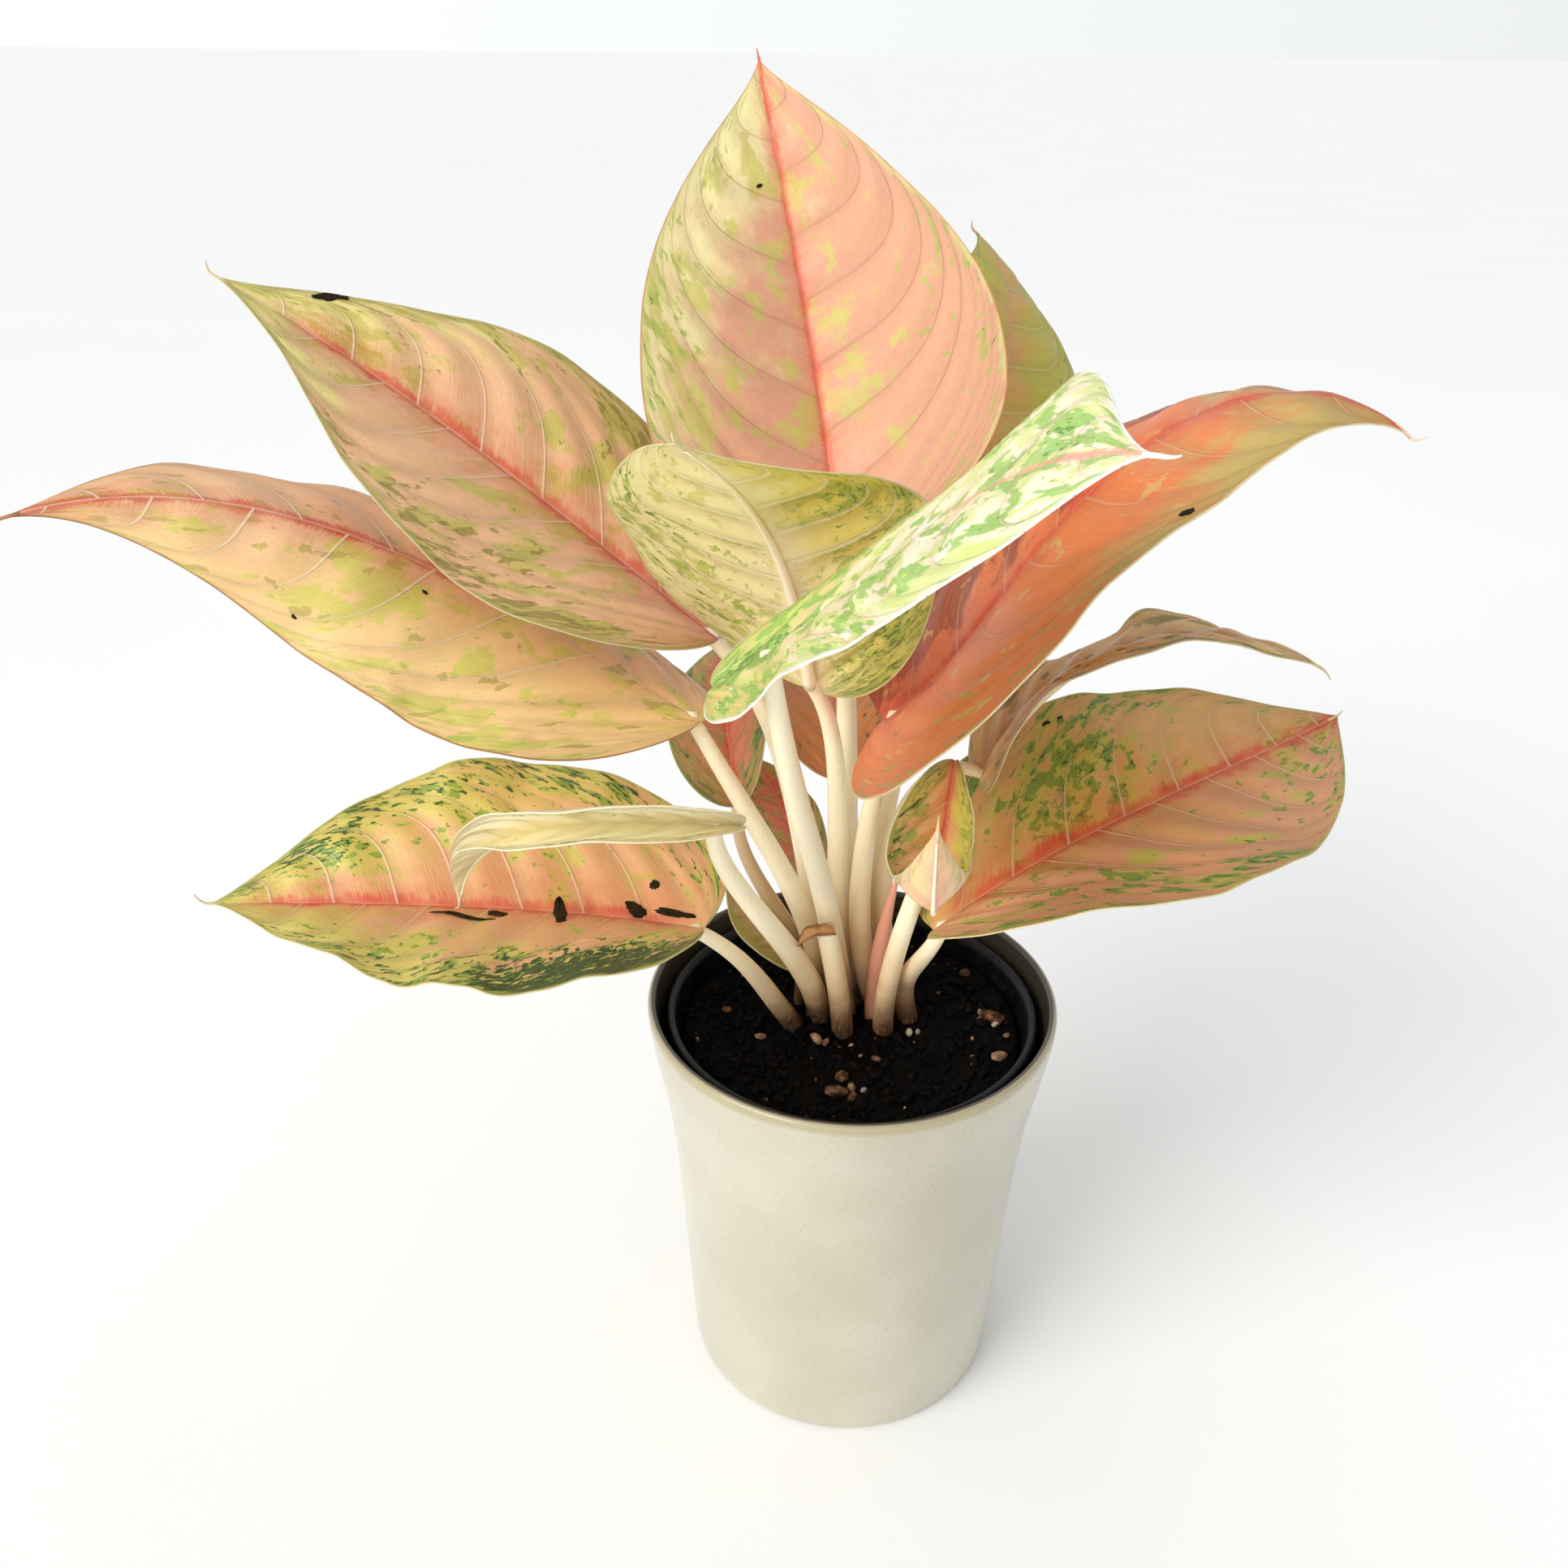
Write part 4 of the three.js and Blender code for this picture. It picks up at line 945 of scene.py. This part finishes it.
dots = grain(long_place, 1.0 / given["Fleck size"], 3.0, 0.6) + ragged + deep + patch * 0.05
fleck = scatter(outward(dots, given["Fleck out"]), given["Fleck amount"], 0.06)
paint = lay(fleck * 0.85, paint, given["Fleck"])
pins = grain(long_place, 5.0, 3.0, 0.6) + fleck * 0.09 + deep * given["Depth"]
speck = scatter(outward(pins, given["Fleck out"]), given["Speck amount"], 0.05)
paint = lay(speck * 0.9, paint, given["Speck"])

# %% [markdown]
# A band of green wanders along the margin. Hair veins, very fine lines beside the main
# ones, cover the blade. They also feather the coral band along the midrib, which stands
# in a soft glow and may start and end partway.

# %% Leaf paint: margin band, hair veins and coral band
wander = grain(long_place, 1.2) * 3.4 - 1.1
band = from_edge.ease(given["Margin width"] * wander.calc("MAXIMUM", 0.08), 0.2)
paint = lay(band * 0.8, paint, given["Margin"])

hairs = grain(hair_place, 1.0, 2.0)
paint = lay(hairs.ease(0.52, 0.75) * 0.2, paint, given["Vein"])

reach = given["Rib width"] * (along * -0.55 + 1.0) * ((hairs + tone) * 2.2 - 1.1)
rib = from_rib.ease(reach * 1.6, reach * 0.3) * 0.9
glow = from_rib.ease(reach * 5.0, reach * 0.5) * given["Rib glow"]
rib = rib.calc("MAXIMUM", glow) * (tone * 1.1 + 0.35)
rib *= along.ease(given["Rib from"] - 0.12, given["Rib from"])
rib *= along.ease(given["Rib to"] + 0.12, given["Rib to"])
paint = lay(rib, paint, given["Rib"])

# %% [markdown]
# Last come the main veins, the line of the midrib, the clear edge and the paler
# underside. Cells sparkle, and the sunk veins are painted a little darker than the swells
# between them, as shade. Veins are sunk above and stand out below, so the relief turns over
# with the face.

# %% Leaf paint: veins, edge and relief
off = ((count + 0.5).calc("FRACT") - 0.5).calc("ABSOLUTE")
hollow_shade = off.ease(0.0, 0.3)
fine = out * out * -0.15 + 1.0
vein = (off * (given["Length"] * (10.0 / VEINS))).ease(fine * (given["Vein width"] * 1.4), 0.1)
vein *= fine * swept.ease(0.02, 0.1)
centre = from_rib.ease(along * -0.6 + 0.9, 0.15)
lines = (vein * (tone * 0.9 + 0.45) * 0.85).calc("MAXIMUM", centre * 0.4)
paint = lay(lines * given["Vein strength"], paint, given["Vein"])
paint = lay(from_edge.ease(0.6, 0.2) * 0.7, paint, given["Edge"])
paint = lay(under * given["Under amount"], paint, given["Under"])

cells = grain(broad_place, 26.0, 2.0)
# painted shade: the first term keeps the sunk veins a little darker than the swells between them
light = hollow_shade * 0.09 + cells * 0.2 + 0.76 + grain(broad_place, 3.2, 2.0) * 0.16
feed(result["Colour"], put(LEAF_PAINT, "ShaderNodeHueSaturation", {"Color": paint, "Value": light}))
feed(result["Roughness"], cells * 0.16 + 0.32 + under * 0.12)
relief = (under * 1.6 - 0.8) * vein.calc("MAXIMUM", centre * 0.5)
feed(result["Height"], relief + hairs * 0.6 + cells * 0.3)
print("leaf paint:", len(LEAF_PAINT.nodes), "nodes")


def leaf_material(leaf, number, **values):
    material = new_material(f"paint_{leaf['name']}", specular_ior_level=0.45)
    paint = use_group(material.node_tree, LEAF_PAINT, dict(
        values, length=leaf["length"] / 10, half=leaf["width"] / 20, seed=7.3 * number,
        sweep=leaf.get("sweep", SWEEP_NEAR)))
    return dress(material, paint["Colour"], paint["Roughness"], paint["Height"], 0.32, 0.75)


# %% [markdown]
# Every leaf has its own mix of the same paint. The names tell where it stands. What a leaf
# doesn't name, it takes from the group.

# %% Leaf colours
PAINTS = {
    "top": dict(
        blush="#D9A081", wash="#E6D99E", wash_along=0.9, wash_right=-0.6, wash_out=0.15,
        wash_amount=-0.3,
        patch="#C4BE62", patch_amount=0.5, patch_size=1.5, patch_out=-0.5, patch_right=-0.55,
        fleck="#A8B454", fleck_amount=0.07, fleck_out=1.2, speck_amount=-0.3,
        first_along=0.4, first_right=-1, first_size=0.6, first_gain=1.2, depth=0.35,
        rib="#E2664E", rib_width=2.2, rib_glow=0.28,
        vein="#CC8B68", vein_strength=0.55, vein_width=0.5, margin="#D8D68C", margin_width=4,
        edge="#D9694E"),
    "back_right": dict(
        blush="#C89C50", wash="#B3AA3E", wash_out=0.8, wash_amount=0.2,
        patch="#ABB044", patch_amount=0.45,
        fleck="#8F9E3C", fleck_amount=0.28, speck_amount=-0.05,
        rib="#C98A62", rib_width=1.0,
        vein="#DDC888", margin="#A9B048", edge="#A87848"),
    "upper_left": dict(
        blush="#E2B084", wash="#DFD182", wash_along=1.4, wash_right=0.1, wash_out=0.35,
        wash_amount=-0.3,
        patch="#B9B04C", patch_amount=0.54, patch_size=1.1, patch_out=-0.2, patch_right=0.25,
        fleck="#96803C", fleck_amount=0.18, fleck_size=0.4, speck="#4A5220", speck_amount=-0.22,
        first_along=0.32, first_right=-1.05, first_size=0.7, first_gain=1.3, depth=0.5,
        second_along=0.25, second_right=1, second_size=0.5, second_gain=1.3,
        rib="#CC5638", rib_width=4.2, rib_to=0.78, rib_glow=0.4,
        vein="#F4D6BA", vein_strength=0.7, vein_width=0.5, margin="#A3A046", margin_width=5),
    # the pale peach wash on the base and the lower half is the leaf's own colour painted lighter, as
    # painted light where the leaf above shades it
    "far_left": dict(
        blush="#F0BE90", wash="#F2C88C", wash_along=-0.8, wash_right=-0.6,
        patch="#CFC85C", patch_amount=0.49, patch_size=1.3, patch_out=-0.3, patch_right=-0.4,
        fleck="#B4BC50", fleck_amount=0.05, speck_amount=-0.4,
        first_along=0.48, first_right=-0.35, first_size=0.45, first_gain=0.8, depth=0.2,
        rib="#D25A44", rib_width=3.4, rib_from=0.42,
        vein="#FAEACA", vein_strength=0.8, vein_width=0.5, margin="#BDA658", margin_width=1.6,
        edge="#A9623F"),
    "lower_left": dict(
        blush="#E0AC7C", wash="#D4C468", wash_along=1.1, wash_out=0.9, wash_amount=-0.05,
        patch="#C6C05A", patch_amount=0.58, patch_size=0.8,
        fleck="#7E9C38", fleck_amount=0.28, fleck_size=0.4, fleck_out=0.8, speck="#223F1C",
        speck_amount=0.08,
        first_along=0.22, first_right=-0.9, first_size=0.6, first_gain=1.6,
        second_along=0.85, second_right=0.6, second_size=0.5, second_gain=0.8,
        rib="#D2583E", rib_width=4.4, rib_from=0.12, rib_to=0.85, rib_glow=0.35,
        vein="#F4D4BA", vein_width=0.5, margin="#A9B04C", margin_width=2.6),
    "rolled_left": dict(
        blush="#EFE2B0", wash="#F8F0D0", wash_right=0.8,
        patch="#CBBE6E",
        fleck_amount=0.05, speck_amount=-0.2,
        rib="#EBDCB0", rib_width=1.0, rib_glow=0.1,
        vein="#F0E6C0", margin="#EFE6C8", margin_width=1.4, under="#EFE4BC", under_amount=0.6),
    "front_centre": dict(
        blush="#E6D89C", wash="#DCC660", wash_right=-0.7,
        patch="#B6B34A", patch_amount=0.5, patch_size=0.8, patch_right=-0.3,
        fleck="#94A640", fleck_amount=0.34, fleck_size=0.28, fleck_out=0.3, speck="#566A26",
        speck_amount=0.14,
        first_along=0.62, first_right=-0.65, first_size=0.5, first_gain=0.5, depth=0.8,
        second_along=0.12, second_right=-0.6, second_size=0.7, second_gain=1.2,
        rib="#F4E4B8", rib_width=4.4, rib_glow=0.35,
        vein="#F2E8BC", vein_strength=0.85, vein_width=1.2, margin="#C6C268", margin_width=1.6,
        under_amount=0.05),
    "front_right": dict(
        blush="#F1E2C2", wash="#D3C67C", wash_along=-1.6, wash_amount=-0.25, ragged=0.35,
        patch="#C6D67C", patch_amount=0.7, patch_size=0.8,
        fleck="#8CBA58", fleck_amount=0.5, fleck_size=0.65, fleck_out=0.0, speck="#5C8A3C",
        speck_amount=0.02,
        first_along=0.8, first_right=-0.2, first_size=0.45, first_gain=0.8,
        second_along=0.1, second_right=0, second_size=0.45, second_gain=1.6,
        rib="#F0A08C", rib_width=1.4, rib_from=0.55, rib_glow=0.1,
        vein="#F4C8B4", vein_strength=0.4, vein_width=0.5, margin="#F4EFE0", margin_width=2.0,
        edge="#FFFFFF"),
    # the dark red-brown patch, gathered by the first cluster on the left half near the base, is painted
    # shade where the front leaves shade this leaf
    "upper_right": dict(
        blush="#DC7A42", wash="#BDA25A", wash_along=2.3, wash_right=0.25, wash_out=0.3,
        wash_amount=-0.42,
        patch="#8C3C20", patch_amount=0.42, patch_size=1.5, patch_right=-1.5,
        fleck="#A8994C", fleck_amount=0.0, fleck_out=1.2, speck_amount=-0.4,
        first_along=0.2, first_right=-0.75, first_size=0.9, first_gain=2.6, depth=0.0,
        rib="#C4462A", rib_width=4.5, rib_glow=0.4,
        vein="#EDB08C", vein_strength=0.5, vein_width=0.5, margin="#CFA45E", margin_width=2.0,
        edge="#F4E4C4"),
    "waved_right": dict(
        blush="#E2BE78", wash="#C4904E", wash_out=-0.8, wash_amount=-0.15,
        patch="#8A8440", patch_amount=0.38, patch_out=0.9,
        fleck="#7A7434", fleck_amount=0.2, speck_amount=-0.05,
        rib="#B88850", rib_width=2.0,
        vein="#E6C896", vein_strength=0.7, margin="#84804A", margin_width=2.0, under="#DDB464",
        under_amount=0.7),
    "lower_right": dict(
        blush="#CFA060", wash="#D59A70", wash_right=0.8,
        patch="#B4B048", patch_amount=0.57, patch_size=1.0, patch_out=0.35,
        fleck="#6C8E34", fleck_out=0.4, speck="#2E5C24", speck_amount=0.12,
        first_along=0.44, first_right=-0.26, first_size=0.55, first_gain=1.3, depth=0.7,
        second_along=0.95, second_right=0.15, second_size=0.6, second_gain=1.2,
        rib="#C64A30", rib_width=5.6, rib_from=0.12,
        vein="#F0CCA4", vein_strength=0.65, vein_width=0.5, margin="#B8B24A"),
    "small_front": dict(
        blush="#E9B57F", wash="#D0C459", wash_right=-0.3, wash_out=0.8,
        patch="#A5A94A", patch_amount=0.44, patch_size=0.7,
        fleck_amount=0.25,
        rib="#DC6E50", rib_width=1.5,
        vein="#F4C8AC", margin="#A8B44C", margin_width=1.6, under="#EFC4A8", under_amount=0.45),
    "back_left": dict(
        blush="#C4704A", wash="#B08E50",
        patch="#8D953F", patch_amount=0.5, patch_size=0.8,
        fleck="#5F7C32", fleck_amount=0.42,
        rib="#C9483A", rib_width=1.5,
        vein="#DDB48C", vein_width=0.4, margin="#8B9445"),
    "back_centre": dict(
        blush="#D88A50", wash="#C97C46",
        patch="#C9A25C", patch_amount=0.3,
        fleck_amount=0.1,
        rib="#E07A55", rib_width=1.5,
        vein="#F2C9A0", vein_strength=0.8, vein_width=0.45, margin="#B98A4C", margin_width=1.5),
    "back_small": dict(
        blush="#D9745A", wash="#C9A862",
        patch="#A3A84C", patch_amount=0.5, patch_size=0.6,
        fleck="#6E8A3A", fleck_amount=0.4,
        rib="#DC5F48", rib_width=1.2,
        vein_width=0.35, margin="#A3A84C"),
    "bract_left": dict(
        blush="#BFA068", wash="#A99A4C",
        patch="#8A8C3E", patch_size=0.6,
        fleck_amount=0.2,
        rib="#C9905C", rib_width=0.8,
        vein="#DCC08E", vein_width=0.3, margin="#9A9448"),
}
TAN_STALKED = ("back_right", "back_left", "back_centre", "waved_right", "upper_right")

# %% [markdown]
# Now each leaf is built. Its blade, rib, drip tip and marks become one piece, because they
# can't come apart, and its stalk is another, whose foot is sunk in the soil.
# A few stalks are a little browner than the rest.

# %% Build every leaf and stalk
PALE_STALK = stalk_material("stalk_skin_pale")
TAN_STALK = stalk_material("stalk_skin_tan", pale="#F6E6C0", warm="#E4C698", warm_top=0.21)
DRY_MARK = crumb_material("dry_mark", "#1D1A0E", "#3B2A14", 0.7)
faces = 0
for number, leaf in enumerate(LEAVES):
    name, ribs = leaf["name"], midrib(leaf)
    skin = TAN_STALK if name in TAN_STALKED else PALE_STALK
    blade = shape_blade(leaf, ribs)
    join_into(blade, shape_rib(leaf, ribs), 1)
    join_into(blade, shape_drip_tip(leaf, ribs), 0)
    join_into(blade, shape_marks(leaf, ribs), 2)
    materials = [leaf_material(leaf, number, **PAINTS[name]), skin, DRY_MARK]
    piece = finish_piece(f"blade_{name}", blade, materials, f"leaf_{name}")
    finish_piece(f"petiole_{name}", shape_stalk(leaf, ribs), [skin], f"stalk_{name}")
    faces += len(piece.data.polygons)
print("leaves:", len(LEAVES), "blades with", faces, "faces")

# %% [markdown]
# Among the stalks stand a pink young shoot, which is a leaf still rolled up, and an old
# cut stub with a curl of its dried sheath on top. Both are rods, and the sheath is a
# small leaf with its own values.

# %% Shoot, stub and dried sheath
PINK_SHOOT = stalk_material("shoot_skin", pale="#F6D2B6", warm="#EBA78C", foot="#B9785A", warm_top=0.24)
shoot = stalk_line((7.7, 3.2), ((7.5, 3.5, 158), (10, 2.5, 178)), Vector((14, 2, 197)))
swelling = [2.4 + math.sin(math.pi * t) - 1.9 * t ** 2 for t in lengths_along(shoot)]
finish_piece("rolled_shoot", rod(shoot, swelling), [PINK_SHOOT], "young_shoot")

stub = stalk_line((-3, -4.5), ((-4, -6.5, 153), (-6.5, -9.5, 168)), Vector((-9.7, -11.5, 184)))
narrowing = [3.8 - 0.4 * t for t in lengths_along(stub)]
finish_piece("cut_stub", rod(stub, narrowing), [PALE_STALK], "old_stub")

SHEATH = dict(name="sheath", at=(-6.5, -14.5, 184.6), length=14, width=10, small=True,
              heading=(180, 195, 210), rise=(10, -10, -50), roll=(-10, -15, -20),
              fold=(10, 10, 10, 10), curl=(20, 20, 20, 20), widest=0.45, taper=1.2, lobe=0,
              wave=(0.4, 0.4, 2, 0))
DRY = leaf_material(
    SHEATH, 20, blush="#C98F58", wash="#8E5A34", patch="#B9793F", patch_size=0.3, fleck="#5E3A22",
    margin="#7A4A2A", margin_width=1.0, rib="#A9713F", rib_width=0.5, vein="#E0B07A", edge="#8A5A36",
    under="#A8703F")
curl = shape_blade(SHEATH, midrib(SHEATH))
finish_piece("dry_curl", curl, [DRY], "dried_sheath")
print("shoot:", round(max(swelling), 1), "mm at its thickest; stub:", round(max(narrowing), 1), "mm")

# %% [markdown]
# ## The studio
# The plant stands on a plain pale floor in a bright room. The room is the world's own
# light, a little weaker from above and from the right.

# %% Floor and room
floor_bm = bmesh.new()
bmesh.ops.create_grid(floor_bm, x_segments=1, y_segments=1, size=40)
floor = show("studio_floor", made_mesh("studio_floor", floor_bm))
pale_floor = new_material("pale_floor", roughness=0.6, specular_ior_level=0.2)
feed(shader(pale_floor)["Base Color"],
     lay(grain(object_place(pale_floor.node_tree), 3.0), "#FAFBFA", "#FFFFFF"))
floor.data.materials.append(pale_floor)

world = bpy.data.worlds.new("studio_room")
bpy.context.scene.world = world
world.use_nodes = True
background = world.node_tree.nodes["Background"].inputs
look_x, _, look_z = split(put(world.node_tree, "ShaderNodeTexCoord", {}, "Generated"))
background["Color"].default_value = (0.965, 0.985, 1, 1)
feed(background["Strength"], (look_z.ease(0.02, 0.3) * -0.36 + 0.98) * (look_x * -0.2 + 1.0))

# %% [markdown]
# A broad window's worth of light comes from the left, and a weaker one from low in front
# reaches under the leaves. Both are sun lamps, whose wide angle keeps shadows soft. Two
# weak softboxes fill in from the side and from above.

# %% Lights
AIM = Vector((0, 0, 0.2))


def lamp(name, kind, place, power, tint):
    light = bpy.data.lights.new(name, kind)
    light.energy, light.color = power, tint
    stand = show(name, light)
    stand.location = place
    stand.rotation_euler = (AIM - Vector(place)).to_track_quat("-Z", "Y").to_euler()
    return light


def softbox(name, place, power, tint, width, height):
    light = lamp(name, "AREA", place, power, tint)
    light.shape, light.size, light.size_y = "RECTANGLE", width, height


lamp("window_light", "SUN", (-1.6, -1.35, 1.35), 2.1, (1, 0.985, 0.95)).angle = math.radians(40)
lamp("front_fill", "SUN", (-0.4, -1.6, 0.3), 0.9, (1, 0.99, 0.97)).angle = math.radians(70)
softbox("side_light", (1.1, -0.7, 0.55), 0.3, (0.97, 0.99, 1), 0.35, 0.8)
softbox("top_light", (0.1, 0.5, 1.7), 2, (1, 1, 1), 1, 1)
bpy.context.scene.view_settings.view_transform = "Standard"
print("lights:", *[light.name for light in bpy.data.lights])

# %% [markdown]
# The camera stands where the photograph was taken: in front of the plant and above it,
# looking down at about 27 degrees. Its focal length comes from the photograph too, so the
# render and the photograph can be laid over each other.

# %% Camera
CAMERA_PLACE = (-0.0239, -0.4062, 0.4426)
PITCH, ROLL = 0.4793, 0.0099
FOCAL, PICTURE = 1777.6, 1932     # in the photograph's pixels
FILM = 36
camera_data = bpy.data.cameras.new("camera")
camera_data.sensor_width = FILM
camera_data.lens = FOCAL / PICTURE * FILM
camera = show("camera", camera_data)
camera.matrix_world = (Matrix.Translation(CAMERA_PLACE) @ Matrix.Rotation(math.pi / 2 - PITCH, 4, "X")
                       @ Matrix.Rotation(ROLL, 4, "Z"))
bpy.context.scene.camera = camera
print("camera:", round(camera_data.lens, 1), "mm,", round(math.degrees(PITCH), 1), "degrees down")
